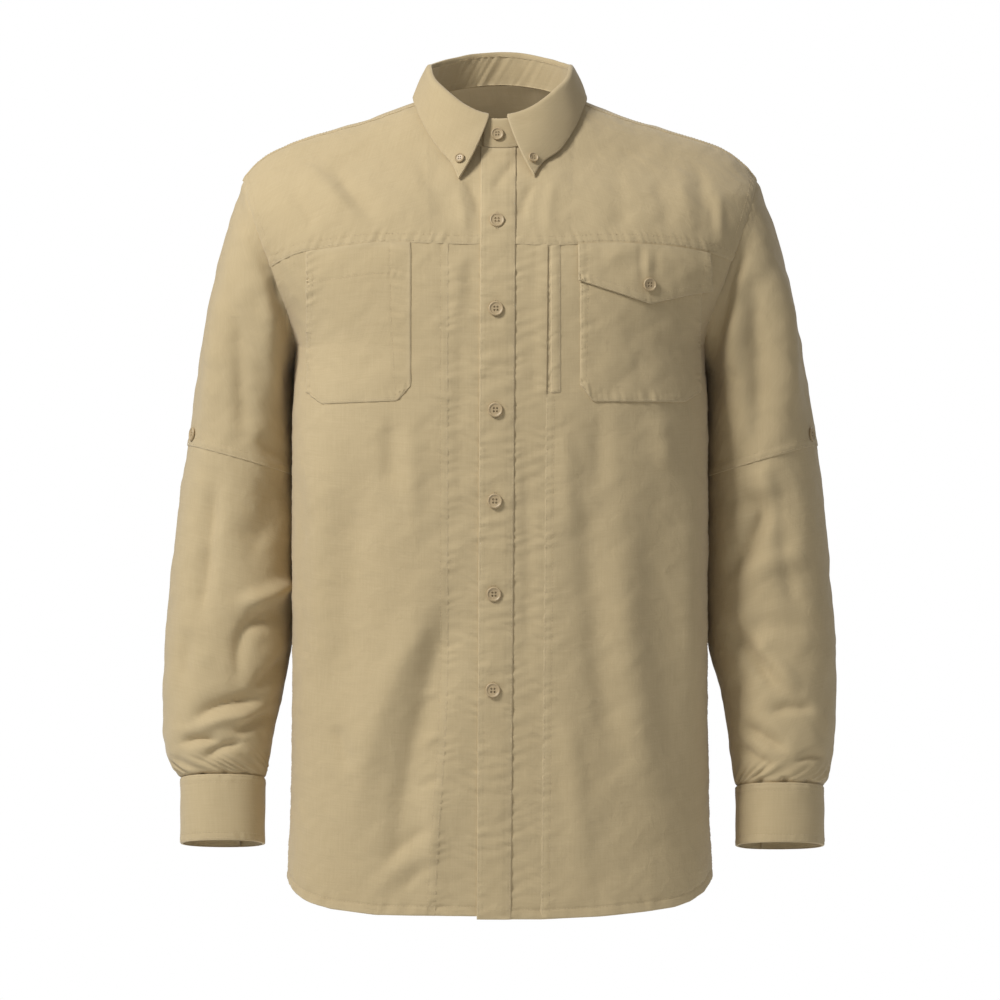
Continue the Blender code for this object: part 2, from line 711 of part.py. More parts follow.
def sleeve_normals(grid, sign):
    """Outward normals of a sleeve's rings."""
    return grid_normals(grid, closed=True) * sign


def folded_sleeve(grid):
    """A sleeve with its folds, measured from the middle of each ring."""
    middle = grid.mean(axis=1, keepdims=True)
    return folded(grid, middle[..., 0], middle[..., 1])


def build_sleeve(side, sign, rings, cuff_rings, cloth, firm):
    """Upper and lower sleeve and cuff of one arm."""
    turns = np.arange(24) * 360.0 / 24
    gap = SEAM_GAP / 2
    upper_at = np.concatenate([[0.0, 0.35, 0.75], np.linspace(1.3, ELBOW_RING, 8)])
    lower_at = np.concatenate([np.linspace(ELBOW_RING, 10.5, 8), np.linspace(11.2, 15, 8)])
    upper = ring_points(rings, SLEEVE_COLUMNS, upper_at[:, None], turns[None, :], sign)
    upper = folded_sleeve(trimmed(upper, gap, gap))
    normals = sleeve_normals(upper, sign)
    add_cloth("sleeve_upper_" + side, upper, normals, cloth, closed=True)
    lower = ring_points(rings, SLEEVE_COLUMNS, lower_at[:, None], turns[None, :], sign)
    lower = folded_sleeve(trimmed(lower, gap, gap))
    normals = sleeve_normals(lower, sign)
    add_cloth("sleeve_lower_" + side, lower, normals, cloth, closed=True)
    return upper, build_cuff(side, sign, cuff_rings, firm)


def build_cuff(side, sign, rings, firm):
    """A band round the wrist whose outer end laps over its inner end."""
    lap = CUFF_LAP / 41.0 * 180.0 / math.pi
    turns = CUFF_LAP_TURN + np.linspace(0.0, 360.0 + lap, 29)
    at = np.linspace(0.0, 1.0, 3)
    grid = ring_points(rings, CUFF_COLUMNS, at[:, None], turns[None, :], sign, hug=False)
    normals = grid_normals(grid) * sign
    rise = ease((turns - turns[-1] + 2 * lap + 20.0) / (lap + 10.0)) * CUFF_LAP_LEVEL
    grid = grid + normals * rise[None, :, None]
    wall("cuff_" + side, grid, firm, -FIRM_CLOTH / 2, FIRM_CLOTH, normals=grid_normals(grid) * sign)
    spot = turns[-1] - lap / 2
    centre = ring_points(rings, CUFF_COLUMNS, 0.5, spot, sign, hug=False)
    near = ring_points(rings, CUFF_COLUMNS, 0.5, spot + 1.0, sign, hug=False)
    below = ring_points(rings, CUFF_COLUMNS, 0.6, spot, sign, hug=False)
    out = unit(np.cross(near - centre, below - centre)) * sign
    return centre + out * (CUFF_LAP_LEVEL + FIRM_CLOTH / 2), out


def neck_loop():
    """Fine points round the neck opening, from the middle of the front to the wearer's right."""
    turn = np.radians(np.linspace(0.0, 360.0, 1441))
    x = -NECK_HALF_WIDTH * np.sin(turn)
    front = np.cos(turn) > 0
    z = np.where(front, NECK_SIDE_Z - NECK_FRONT_DROP * np.cos(turn), neck_back_z(x))
    y = np.where(front, body_y(x, z, -1), body_y(x, z, 1))
    points = np.stack([x, y, z], axis=-1)
    steps = np.linalg.norm(np.diff(points, axis=0), axis=1)
    length = np.concatenate([[0.0], np.cumsum(steps)])
    return points, length


def neck_frame(distance):
    """Point, outward direction and up direction of the neck edge at this way round it."""
    points, length = neck_loop()
    total = length[-1]

    def at(where):
        where = np.mod(where, total)
        return np.stack([np.interp(where, length, points[:, i]) for i in range(3)], axis=-1)

    distance = np.asarray(distance, float)
    spread = np.linspace(-14.0, 14.0, 9)
    point = at(distance)
    ahead = at(distance[..., None] + spread + 6.0).mean(axis=-2)
    behind = at(distance[..., None] + spread - 6.0).mean(axis=-2)
    along = ahead - behind
    out = unit(np.stack([along[..., 1], -along[..., 0], np.zeros_like(distance)], axis=-1))
    lean = math.radians(STAND_LEAN)
    up = unit(np.array([0.0, 0.0, 1.0]) * math.cos(lean) - out * math.sin(lean))
    return point, out, up


def neck_length():
    """Length of the whole neck edge."""
    return neck_loop()[1][-1]


def stand_level(distance):
    """How far out the stand lies: its far end laps over its near end."""
    total = neck_length()
    return STAND_LAP_LEVEL * ease((distance - total + 75.0) / 50.0)


def outward_sign(point, out):
    """The out directions turned away from the middle of the neck."""
    away = point - np.array([0.0, -4.0, 0.0])
    side = np.sign((away[..., :2] * out[..., :2]).sum(axis=-1))
    return out * side[..., None]


def build_stand(firm):
    """The collar stand: a band round the neck, lapped at the front, with a rounded end."""
    total = neck_length()
    last = total + STAND_OVER_END
    tail = last - np.array([STAND_CORNER, 4.5, 2.4, 1.0, 0.0])
    body_part = np.linspace(-STAND_UNDER_END, last - STAND_CORNER - 9.0, 34)
    where = np.concatenate([body_part, tail])
    point, out, up = neck_frame(where)
    out = outward_sign(point, out)
    up = unit(np.array([0.0, 0.0, 1.0]) - out * math.tan(math.radians(STAND_LEAN)))
    left = np.clip((last - where) / STAND_CORNER, 0.0, 1.0)
    cut = STAND_CORNER * (1 - np.sqrt(1 - (1 - left) ** 2))
    height = STAND_HEIGHT - np.clip(cut, 0.0, STAND_CORNER)
    rows = []
    for part in (0.0, 0.35, 0.7, 1.0):
        level = stand_level(where)[:, None]
        rise = (STAND_FOOT + (height - STAND_FOOT) * part)[:, None]
        rows.append(point + out * level + up * rise)
    grid = np.array(rows)
    normals = np.broadcast_to(out, grid.shape)
    wall("collar_stand", grid, firm, -FIRM_CLOTH, FIRM_CLOTH, normals=normals)


def shoulder_normal(x, depth):
    """Outward direction of the body's surface near the shoulder's ridge."""
    step = 0.4
    across = over_shoulder(x + step, depth) - over_shoulder(x - step, depth)
    down = over_shoulder(x, depth + step) - over_shoulder(x, depth - step)
    normal = unit(np.cross(across, down))
    return normal * np.where(normal[..., 2:] < 0, -1.0, 1.0)


def fall_points(where, start, end):
    """The collar's outer face: columns along the neck, rows from the stand's top to its edge."""
    total = neck_length()
    point, out, up = neck_frame(where)
    out = outward_sign(point, out)
    up = unit(np.array([0.0, 0.0, 1.0]) - out * math.tan(math.radians(STAND_LEAN)))
    right_half = where > total / 2
    run = np.where(right_half, end - where, where - start)
    part = np.clip(run / ((end - start) / 2), 0.0, 1.0)
    parts = column(COLLAR_EDGE, COLLAR_EDGE_COLUMNS, "part")
    edge = {
        name: smooth(parts, column(COLLAR_EDGE, COLLAR_EDGE_COLUMNS, name), part)
        for name in ("x", "depth", "lift")
    }
    foot = over_shoulder(edge["x"], edge["depth"])
    foot = foot + shoulder_normal(edge["x"], edge["depth"]) * edge["lift"][:, None]
    foot[:, 0] *= np.where(right_half, 1.0, -1.0)
    base = point + up * STAND_HEIGHT + out * stand_level(where)[:, None]
    stand_off = (3.0 * ease(1 - part / 0.22) * np.where(right_half, 0.0, 1.0))[:, None]
    rows = [
        base - out * FIRM_CLOTH + up * 1.0,
        base - out * (FIRM_CLOTH - 0.1) + up * 2.5,
        base - out * 0.4 + up * 3.9 + out * stand_off * 0.3,
        base + out * (1.7 + stand_off * 0.8) + up * 3.7,
        base + out * (3.3 + stand_off) + up * 1.6,
    ]
    top = rows[-1]
    near_end = ease(1 - part / 0.3)[:, None]
    centre_push = np.stack([-np.sign(foot[:, 0]), 0 * part, 0 * part], axis=-1) * 2.6
    for share in (0.2, 0.4, 0.6, 0.8, 1.0):
        bow = 4 * share * (1 - share)
        straight_line = top * (1 - share) + foot * share
        rows.append(straight_line + bow * (out * 1.8 + centre_push * near_end))
    return np.array(rows)


def build_fall(cloth):
    """The collar itself, folded over the stand, with button-down points."""
    total = neck_length()
    start, end = 10.5, total - 7.0
    near = np.array([0.0, 6.0, 13.0, 22.0, 33.0])
    middle = np.linspace(start + 46.0, end - 46.0, 17)
    where = np.concatenate([start + near, middle, end - near[::-1]])
    grid = fall_points(where, start, end)
    normals = grid_normals(grid)
    middle_out = normals[7, len(where) // 2]
    if middle_out[1] < 0:
        normals = -normals
    wall("collar_fall", grid, cloth, -FALL_CLOTH, FALL_CLOTH, normals=normals)
    return grid, normals


def button_mesh(radius):
    """Points and faces of a round button with a raised rim, a dished face and four holes."""
    segments = 14
    hole_segments = 4
    angles = [2 * math.pi * i / segments for i in range(segments)]
    rings = ((0.90, 0.0), (1.0, 0.45), (0.90, 1.0), (0.70, 0.75))
    points, faces = [], []
    for scale, height in rings:
        for a in angles:
            x, y = radius * scale * math.cos(a), radius * scale * math.sin(a)
            points.append((x, y, height * BUTTON_THICK))
    for r in range(len(rings) - 1):
        for i in range(segments):
            j = (i + 1) % segments
            a, b = r * segments + i, r * segments + j
            faces.append((a, b, b + segments, a + segments))
    first_hole = len(points)
    offset = radius * 0.22
    hole_radius = BUTTON_HOLE / 2 * radius / 7.0
    centres = [(sx * offset, sy * offset) for sx in (-1, 1) for sy in (-1, 1)]
    for height in (0.0, 0.75 * BUTTON_THICK):
        for cx, cy in centres:
            for k in range(hole_segments):
                a = 2 * math.pi * k / hole_segments
                points.append(
                    (cx + hole_radius * math.cos(a), cy + hole_radius * math.sin(a), height)
                )
    hole_points = 4 * hole_segments
    for hole in range(4):
        for k in range(hole_segments):
            a = first_hole + hole * hole_segments + k
            b = first_hole + hole * hole_segments + (k + 1) % hole_segments
            faces.append((b, a, a + hole_points, b + hole_points))
    for outer_start, hole_start, upward in (
        (0, first_hole, False),
        ((len(rings) - 1) * segments, first_hole + hole_points, True),
    ):
        loop = [outer_start + i for i in range(segments)]
        holes = [
            [hole_start + h * hole_segments + k for k in range(hole_segments)]
            for h in range(4)
        ]
        faces.extend(flat_faces(points, loop, holes, upward))
    return np.array(points), faces


def flat_faces(points, loop, holes, upward):
    """Triangles between an outer loop and the holes in it."""
    indices = loop + [i for hole in holes for i in hole]
    flat = [mathutils.Vector(points[i][:2]) for i in indices]
    edges = []
    start = 0
    for ring in [loop] + holes:
        count = len(ring)
        edges += [(start + i, start + (i + 1) % count) for i in range(count)]
        start += count
    found = mathutils.geometry.delaunay_2d_cdt(flat, edges, [], 0, 1e-6)
    kept = []
    for face in found[2]:
        centre = sum((found[0][i] for i in face), mathutils.Vector((0, 0))) / len(face)
        inside_hole = any(
            (centre - mathutils.Vector(points[hole[0]][:2])).length
            < 1.6 * (mathutils.Vector(points[hole[0]][:2])
                     - mathutils.Vector(points[hole[3]][:2])).length
            and within(centre, [points[i] for i in hole])
            for hole in holes
        )
        if inside_hole or not within(centre, [points[i] for i in loop]):
            continue
        corners = [indices[found[3][i][0]] for i in face]
        a, b, c = (mathutils.Vector(points[i][:2]) for i in corners[:3])
        turning = (b - a).cross(c - a)
        if (turning > 0) != upward:
            corners.reverse()
        kept.append(tuple(corners))
    return kept


def within(point, polygon):
    """Whether a point of the plane lies inside a polygon."""
    inside = False
    for i in range(len(polygon)):
        x0, y0 = polygon[i][0], polygon[i][1]
        x1, y1 = polygon[i - 1][0], polygon[i - 1][1]
        crosses = (y0 > point[1]) != (y1 > point[1])
        if crosses and point[0] < (x1 - x0) * (point[1] - y0) / (y1 - y0) + x0:
            inside = not inside
    return inside


def add_button(name, centre, out, radius, material):
    """A button with its back just clear of the cloth at a point, facing out."""
    points, faces = button_mesh(radius)
    out = mathutils.Vector(out).normalized()
    side = mathutils.Vector((0, 0, 1)).cross(out).normalized()
    up = out.cross(side)
    axes = np.array([side, up, out])
    placed = points @ axes + np.asarray(centre) + np.array(out) * BUTTON_LIFT
    obj = add_object(name, placed, faces, material, smooth_faces=False)
    turn_outwards(obj)


def nearest(grid, normals, x, z):
    """The place on a grid, halfway points included, that is nearest in the front view."""
    fine = np.linspace(0, grid.shape[0] - 1, grid.shape[0] * 8)
    across = np.linspace(0, grid.shape[1] - 1, grid.shape[1] * 8)
    i = np.minimum(fine.astype(int), grid.shape[0] - 2)
    j = np.minimum(across.astype(int), grid.shape[1] - 2)
    s = (fine - i)[:, None, None]
    t = (across - j)[None, :, None]

    def blend(values):
        a, b = values[i][:, j], values[i][:, j + 1]
        c, d = values[i + 1][:, j], values[i + 1][:, j + 1]
        return a * (1 - s) * (1 - t) + b * (1 - s) * t + c * s * (1 - t) + d * s * t

    points = blend(grid)
    off = (points[..., 0] - x) ** 2 + (points[..., 2] - z) ** 2 + (points[..., 1] > 0) * 1e6
    k = np.unravel_index(np.argmin(off), off.shape)
    return points[k], unit(blend(normals)[k])


def build_buttons(placket, flap_grid, fall, uppers, cuffs, button):
    """All buttons, each on the outer face of the cloth under it."""
    grid, normals = placket
    for number, (x, z) in enumerate(FRONT_BUTTONS, 1):
        point, out = nearest(grid, normals, x, z)
        point = point + out * (PLACKET_GAP + CLOTH)
        add_button(f"button_front_{number}", point, out, 7.0, button)
    total = neck_length()
    point, out, up = neck_frame(np.array([total + 2.4]))
    out = outward_sign(point, out)[0]
    up = unit(np.array([0.0, 0.0, 1.0]) - out * math.tan(math.radians(STAND_LEAN)))
    spot = point[0] + up * 13.5 + out * STAND_LAP_LEVEL
    out = unit(out + np.array([0.0, 0.0, math.tan(math.radians(STAND_LEAN))]))
    add_button("button_stand", spot, out, 6.0, button)
    flap_normals = -grid_normals(flap_grid)
    point, out = nearest(flap_grid, flap_normals, 140.3, -178.7)
    add_button("button_flap", point - out * CLOTH, out, 6.5, button)
    grid, normals = fall
    for side, x, z in (("right", -37.7, -58.6), ("left", 31.2, -58.0)):
        point, out = nearest(grid[4:], normals[4:], x, z)
        add_button("button_collar_" + side, point + out * 0.25, out, 4.8, button)
    for side, sign, upper in (("right", -1, uppers[0]), ("left", 1, uppers[1])):
        normals = sleeve_normals(upper, sign)
        z = -319.0
        ring = int(np.argmin(np.abs(upper[:, 2, 2] - z)))
        point, out = upper[ring, 2], normals[ring, 2]
        add_button("button_tab_" + side, point + out * 0.2, out, 6.5, button)
    for side, (point, out) in zip(("right", "left"), cuffs):
        add_button("button_cuff_" + side, point + out * 0.4, out, 5.5, button)


def new_material(name, colour, roughness):
    """A plain finish of one colour."""
    material = bpy.data.materials.new(name)
    material.use_nodes = True
    shader = material.node_tree.nodes["Principled BSDF"]
    shader.inputs["Base Color"].default_value = (*colour, 1.0)
    shader.inputs["Roughness"].default_value = roughness
    shader.inputs["Metallic"].default_value = 0.0
    material.diffuse_color = (*colour, 1.0)
    return material


def main():
    """Clears the scene and builds the shirt."""
    for old in list(bpy.data.objects):
        bpy.data.objects.remove(old)
    cloth = new_material("khaki_cloth", (0.48, 0.38, 0.22), 0.85)
    firm = new_material("khaki_firm_cloth", (0.48, 0.38, 0.22), 0.8)
    button = new_material("khaki_button", (0.42, 0.30, 0.16), 0.4)
    build_yokes(cloth)
    flap_grid = build_fronts(cloth)
    placket = build_placket(cloth)
    build_back(cloth)
    build_stand(firm)
    fall = build_fall(firm)
    upper_right, cuff_right = build_sleeve("right", -1, RIGHT_SLEEVE, RIGHT_CUFF, cloth, firm)
    upper_left, cuff_left = build_sleeve("left", 1, LEFT_SLEEVE, LEFT_CUFF, cloth, firm)
    uppers = (upper_right, upper_left)
    build_buttons(placket, flap_grid, fall, uppers, (cuff_right, cuff_left), button)


if __name__ == "__main__":
    main()
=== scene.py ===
"""A long-sleeved khaki field shirt: its cloth, seams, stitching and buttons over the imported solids.

Each sewn piece is a fine grid of points on the form of its solid. Folds, puckers and laps lift
the grid, and a closed wall of cloth is made from it. Sizes are millimetres in the classes and
metres in the meshes. The shirt faces -Y, +Z is up, and the origin lies in the neck opening.
"""

from __future__ import annotations

import logging
import math
from dataclasses import dataclass, field
from enum import Enum
from typing import Callable, Sequence

import bpy
import mathutils
import numpy as np
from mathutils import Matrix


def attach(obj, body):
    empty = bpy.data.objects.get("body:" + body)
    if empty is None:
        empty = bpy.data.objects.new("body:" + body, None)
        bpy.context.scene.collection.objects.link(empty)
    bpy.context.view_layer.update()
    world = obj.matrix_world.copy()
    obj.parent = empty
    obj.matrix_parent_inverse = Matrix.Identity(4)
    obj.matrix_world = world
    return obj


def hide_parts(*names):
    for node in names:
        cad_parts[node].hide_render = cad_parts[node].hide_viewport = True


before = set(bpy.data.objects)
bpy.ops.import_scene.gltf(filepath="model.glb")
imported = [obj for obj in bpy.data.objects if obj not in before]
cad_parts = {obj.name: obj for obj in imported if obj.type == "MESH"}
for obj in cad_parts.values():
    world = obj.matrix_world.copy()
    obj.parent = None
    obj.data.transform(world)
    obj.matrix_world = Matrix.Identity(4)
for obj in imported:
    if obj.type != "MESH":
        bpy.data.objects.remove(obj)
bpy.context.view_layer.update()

MM = 0.001
LOG = logging.getLogger("shirt")
Array = np.ndarray
Table = tuple[tuple[float, ...], ...]
Path = tuple[tuple[float, float], ...]
Place = tuple[float, float, float]
Feeds = dict[str | int, object]
SleeveRings = tuple[tuple[float, ...], ...]


class Face(Enum):
    """Front or back of the body, as the sign of Y."""

    FRONT = -1
    BACK = 1


class Side(Enum):
    """The wearer's side, as the sign of X."""

    RIGHT = -1
    LEFT = 1

    @property
    def word(self) -> str:
        """The side's name in the names of pieces."""
        return self.name.lower()


class Edge(Enum):
    """A border of a grid."""

    FIRST = "first column"
    LAST = "last column"
    TOP = "top row"
    BOTTOM = "bottom row"


FIRST, LAST, TOP, BOTTOM = Edge


class Held(Enum):
    """How a sheet of cloth is held."""

    HUNG = "hung"
    FOLDED = "folded"
    LAID = "laid"


# Curves and small sums


def smooth(xs: Sequence[float], ys: Sequence[float], at: Array) -> Array:
    """A curve through points with no overshoot.

    Args:
        xs: Rising places of the points.
        ys: Values at the points.
        at: Places to read.

    Returns:
        The curve's values.
    """
    xs = np.asarray(xs, float)
    ys = np.asarray(ys, float)
    step = np.diff(xs)
    slope = np.diff(ys) / step
    before, after = slope[:-1], slope[1:]
    same = before * after > 0
    weight_a = 2 * step[1:] + step[:-1]
    weight_b = step[1:] + 2 * step[:-1]
    low = np.where(same, before, 1)
    high = np.where(same, after, 1)
    tangent = np.zeros_like(ys)
    mean = (weight_a + weight_b) / (weight_a / low + weight_b / high)
    tangent[1:-1] = np.where(same, mean, 0)
    tangent[0] = slope[0]
    tangent[-1] = slope[-1]
    at = np.clip(np.asarray(at, float), xs[0], xs[-1])
    k = np.clip(np.searchsorted(xs, at, side="right") - 1, 0, len(step) - 1)
    t = (at - xs[k]) / step[k]
    return (
        (1 + 2 * t) * (1 - t) ** 2 * ys[k]
        + t * (1 - t) ** 2 * step[k] * tangent[k]
        + t * t * (3 - 2 * t) * ys[k + 1]
        + t * t * (t - 1) * step[k] * tangent[k + 1]
    )


def curve(table: Table, at: Array) -> Array:
    """A smooth curve through a table of two columns."""
    xs, ys = zip(*table)
    return smooth(xs, ys, at)


def straight(table: Table, at: Array) -> Array:
    """Straight lines between the rows of a table of two columns."""
    xs, ys = zip(*table)
    return np.interp(at, xs, ys)


def ease(t: Array) -> Array:
    """0 to 1 with level ends."""
    t = np.clip(t, 0, 1)
    return t * t * (3 - 2 * t)


def unit(vectors: Array) -> Array:
    """Vectors of length one."""
    return vectors / np.maximum(np.linalg.norm(vectors, axis=-1, keepdims=True), 1e-9)


def ripple(along: Array, wave: float, seed: float) -> Array:
    """An uneven wave from -1 to 1.

    Args:
        along: Places along a line.
        wave: Mean length of a wave.
        seed: Sets one uneven wave apart from another.

    Returns:
        The wave's height at each place.
    """
    turn = 2 * math.pi * along / wave
    drift = 1.4 * np.sin(turn * 0.231 + seed * 1.7) + 0.9 * np.sin(turn * 0.113 + seed * 0.9)
    swell = 0.62 + 0.38 * np.sin(turn * 0.171 + seed * 2.3) * np.sin(turn * 0.047 + seed)
    return swell * np.sin(turn + 1.6 * drift + seed)


def crumple(points: Array, size: float, seed: float) -> Array:
    """A soft uneven field over space, from about -1 to 1.

    Args:
        points: Places in millimetres.
        size: Rough width of one swell.
        seed: Sets one field apart from another.

    Returns:
        The field at each point.
    """
    x, y, z = (points[..., i] / size for i in range(3))
    total = np.zeros(x.shape)
    bend_x = 0.9 * np.sin(1.3 * z + 0.7 * y + seed)
    bend_z = 0.9 * np.sin(1.1 * x - 0.8 * y + seed * 1.9)
    for turn in range(5):
        angle = 0.7 + 1.256 * turn + seed * 0.37
        a, b = math.cos(angle), math.sin(angle)
        rate = 1.6 + 0.55 * turn
        total += np.sin(rate * (a * (x + bend_x) + b * (z + bend_z) + 0.6 * y) + 2.1 * turn + seed)
    return total / 3.2


def graded(length: float, step: float, fine: float = 0.6, lines: Sequence[float] = ()) -> Array:
    """Places along a length, close together at both ends and by given lines.

    Args:
        length: The whole length.
        step: Spacing in the middle.
        fine: Spacing at the ends.
        lines: Places that get a close group of three. Negative ones count from the far end.

    Returns:
        Rising places from 0 to the length.
    """
    near = [0]
    gap = fine
    while gap < step:
        near.append(near[-1] + gap)
        gap *= 1.6
    count = max(int(round((length - 2 * near[-1]) / step)), 1)
    middle = np.linspace(near[-1], length - near[-1], count + 1)
    places = list(near[:-1]) + list(middle) + [length - p for p in near[:-1]]
    for line in lines:
        line = line if line >= 0 else length + line
        places = [p for p in places if abs(p - line) > 1.7 or p in (0, length)]
        places += [line - 1.1, line, line + 1.1]
    places = sorted(p for p in places if 0 <= p <= length)
    kept = [places[0]]
    for place in places[1:]:
        if place - kept[-1] > 0.25:
            kept.append(place)
    kept[-1] = length
    return np.array(kept)


def fitted(places: Array, nominal: float, length: float, margin: float = 16) -> Array:
    """Places set out for one length, fitted to another with both margins kept.

    Args:
        places: Places between 0 and the nominal length.
        nominal: The length that they were set out for.
        length: The length to fit.
        margin: Distance from either end that isn't stretched.

    Returns:
        The places on the new length.
    """
    margin = min(margin, length * 0.3, nominal * 0.3)
    at = [0, margin, nominal - margin, nominal]
    to = [0, margin, length - margin, length]
    return np.interp(places, at, to)


def lengths_of(points: Array) -> Array:
    """Distance along a line of points from its first one."""
    steps = np.linalg.norm(np.diff(points, axis=0), axis=-1)
    return np.concatenate([np.zeros((1,) + steps.shape[1:]), np.cumsum(steps, axis=0)])


def read_line(points: Array, length: Array, at: Array) -> Array:
    """Points at these distances along a line."""
    return np.stack([np.interp(at, length, points[:, i]) for i in range(3)], axis=-1)


def curve_through(path: Path, count: int) -> Array:
    """A smooth line in the plane through a few points.

    Args:
        path: Two or more points.
        count: How many points to return.

    Returns:
        The line's points.
    """
    knots = np.array(path, float)
    at = np.linspace(0, len(knots) - 1, count)
    if len(knots) == 2:
        return knots[0] + (knots[1] - knots[0]) * at[:, None]
    padded = np.concatenate([[2 * knots[0] - knots[1]], knots, [2 * knots[-1] - knots[-2]]])
    k = np.minimum(at.astype(int), len(knots) - 2)
    t = (at - k)[:, None]
    a, b, c, d = (padded[k + i] for i in range(4))
    return 0.5 * (2 * b + (c - a) * t + (2 * a - 5 * b + 4 * c - d) * t**2
                  + (3 * b - 3 * c + d - a) * t**3)


# The body's form


@dataclass(frozen=True)
class BodyForm:
    """The surface that the torso's cloth lies on."""

    neck_half_width: float = 72
    neck_side_z: float = 6
    neck_front_drop: float = 54
    neck_back_rise: float = 16
    shoulder_round: float = 110
    shoulder_z: float = -72
    armpit_z: float = -235
    armhole_front: float = 70
    armhole_back: float = 75
    power: float = 2.6
    ridge_line: Table = (
        (-20, 33.8), (0, 36.5), (20, 33.8), (40, 25.6), (60, 13.6), (72, 6), (80, 3),
        (92, -2), (104, -6.7), (130, -16), (149, -21.2), (164, -26), (206, -40),
        (231, -55), (245, -71), (252, -84), (262, -112),
    )
    armhole_line: Table = (
        (-235, 196), (-228, 196.4), (-213, 198.6), (-194, 203.8), (-176, 210.6),
        (-152, 219.2), (-134, 226), (-102, 236.8), (-72, 245),
    )
    # height, side_y, front_y, back_y, half_width
    levels: Table = (
        (-800, -20, -120, 119, 203.5),
        (-742, -20, -122, 119, 202.5),
        (-650, -20, -127, 117, 199),
        (-515, -20, -130, 115, 198),
        (-400, -20, -130, 116, 198.5),
        (-300, -12, -129, 120, 198.5),
        (-235, 0, -126, 123, 196),
        (-190, 7, -123, 125, 196),
        (-133, 10, -112, 127, 196),
        (-90, 10, -95, 124, 196),
        (-48, 10, -73, 119, 196),
        (36, 10, -64, 114, 196),
    )

    def size(self, column: int, z: Array) -> Array:
        """One column of the levels at these heights."""
        rows = np.array(self.levels, float)
        return smooth(rows[:, 0], rows[:, column], z)

    def depth(self, z: Array, face: Face) -> Array:
        """How far the middle of the front or back stands from the side line."""
        return face.value * (self.size(2 if face is Face.FRONT else 3, z) - self.size(1, z))

    def ridge(self, x: Array) -> Array:
        """Height of the shoulder's ridge at this distance from the middle."""
        return curve(self.ridge_line, np.abs(x))

    def armhole_x(self, z: Array) -> Array:
        """Distance of the armhole seam from the middle at this height."""
        return curve(self.armhole_line, z)

    def rounding(self, below: Array) -> Array:
        """How much of the body's depth is reached this far below the ridge."""
        k = np.clip(below / self.shoulder_round, 0, 1)
        return np.sqrt(np.clip(1 - (1 - k) ** 2, 0, 1))

    def half_width(self, z: Array, face: Face) -> Array:
        """Half of the body's width. Above the armpit it makes the armhole an oval.

        Args:
            z: Heights.
            face: Front or back.

        Returns:
            Half widths.
        """
        high = np.clip(z, self.armpit_z, -90)
        middle = (self.shoulder_z + self.armpit_z) / 2
        half = (self.shoulder_z - self.armpit_z) / 2
        reach = np.sqrt(np.clip(1 - ((high - middle) / half) ** 2, 0, 1))
        reach = reach * (self.armhole_front if face is Face.FRONT else self.armhole_back)
        seam = self.armhole_x(high)
        full = self.depth(high, face) * self.rounding(self.ridge(seam) - high)
        part = np.clip(reach / full, 0, 0.97)
        above = seam / (1 - part**self.power) ** (1 / self.power)
        return np.where(z > self.armpit_z, above, self.size(4, z))

    def y(self, x: Array, z: Array, face: Face) -> Array:
        """Where the surface lies, front to back, at this place of the front view.

        Args:
            x: Places across.
            z: Heights.
            face: Front or back.

        Returns:
            Values of Y.
        """
        share = np.abs(x) / self.half_width(z, face)
        across = np.clip(1 - share**self.power, 0, 1) ** (1 / self.power)
        out = self.depth(z, face) * across * self.rounding(self.ridge(x) - z)
        return self.size(1, z) + face.value * out

    def points(self, x: Array, z: Array, face: Face) -> Array:
        """Points of the surface at these places of the front view."""
        x, z = np.broadcast_arrays(np.asarray(x, float), np.asarray(z, float))
        return np.stack([x, self.y(x, z, face), z], axis=-1)

    def over_shoulder(self, x: Array, depth: Array) -> Array:
        """Points by x and depth: the root of the height below the ridge, negative behind it.

        Args:
            x: Places across.
            depth: Depths at them.

        Returns:
            The points.
        """
        x, depth = np.broadcast_arrays(np.asarray(x, float), np.asarray(depth, float))
        z = self.ridge(x) - depth**2
        front = self.y(x, z, Face.FRONT)
        y = np.where(depth >= 0, front, self.y(x, z, Face.BACK))
        return np.stack([x, y, z], axis=-1)

    def side_edge(self, z: float) -> float:
        """Distance of a panel's outer edge from the middle.

        Args:
            z: Height.

        Returns:
            The distance.
        """
        if z > self.armpit_z:
            lap = 1.2 * float(ease(np.array((z - self.armpit_z) / 20)))
            return float(self.armhole_x(np.array(z))) + lap
        return float(self.half_width(np.array(z), Face.FRONT))

    def row(self, x_from: float, x_to: float, z: float, face: Face) -> tuple[Array, Array]:
        """A fine line across the surface at one height, and the distances along it.

        Args:
            x_from: First place across.
            x_to: Last place across.
            z: Height.
            face: Front or back.

        Returns:
            Points and distances.
        """
        turn = np.linspace(0, 1, 220)
        if x_from * x_to < 0:
            x = x_from + (x_to - x_from) * (1 - np.cos(math.pi * turn)) / 2
        else:
            x = x_from + (x_to - x_from) * np.sin(math.pi / 2 * turn)
        line = self.points(x, np.full_like(x, z), face)
        return line, lengths_of(line)

    def neck_front_z(self, x: Array) -> Array:
        """Height of the neck opening's front edge."""
        part = np.clip(np.abs(x) / self.neck_half_width, 0, 1)
        return self.neck_side_z - self.neck_front_drop * np.sqrt(1 - part**2)

    def neck_back_z(self, x: Array) -> Array:
        """Height of the neck opening's back edge."""
        share = np.asarray(x) / self.neck_half_width
        return self.neck_side_z + self.neck_back_rise * (1 - share**2)

    def shoulder_seam_depth(self, x: Array) -> Array:
        """The shoulder seam lies a little in front of the ridge."""
        return np.interp(np.abs(x), (self.neck_half_width, 240), (2.5, 1.5))

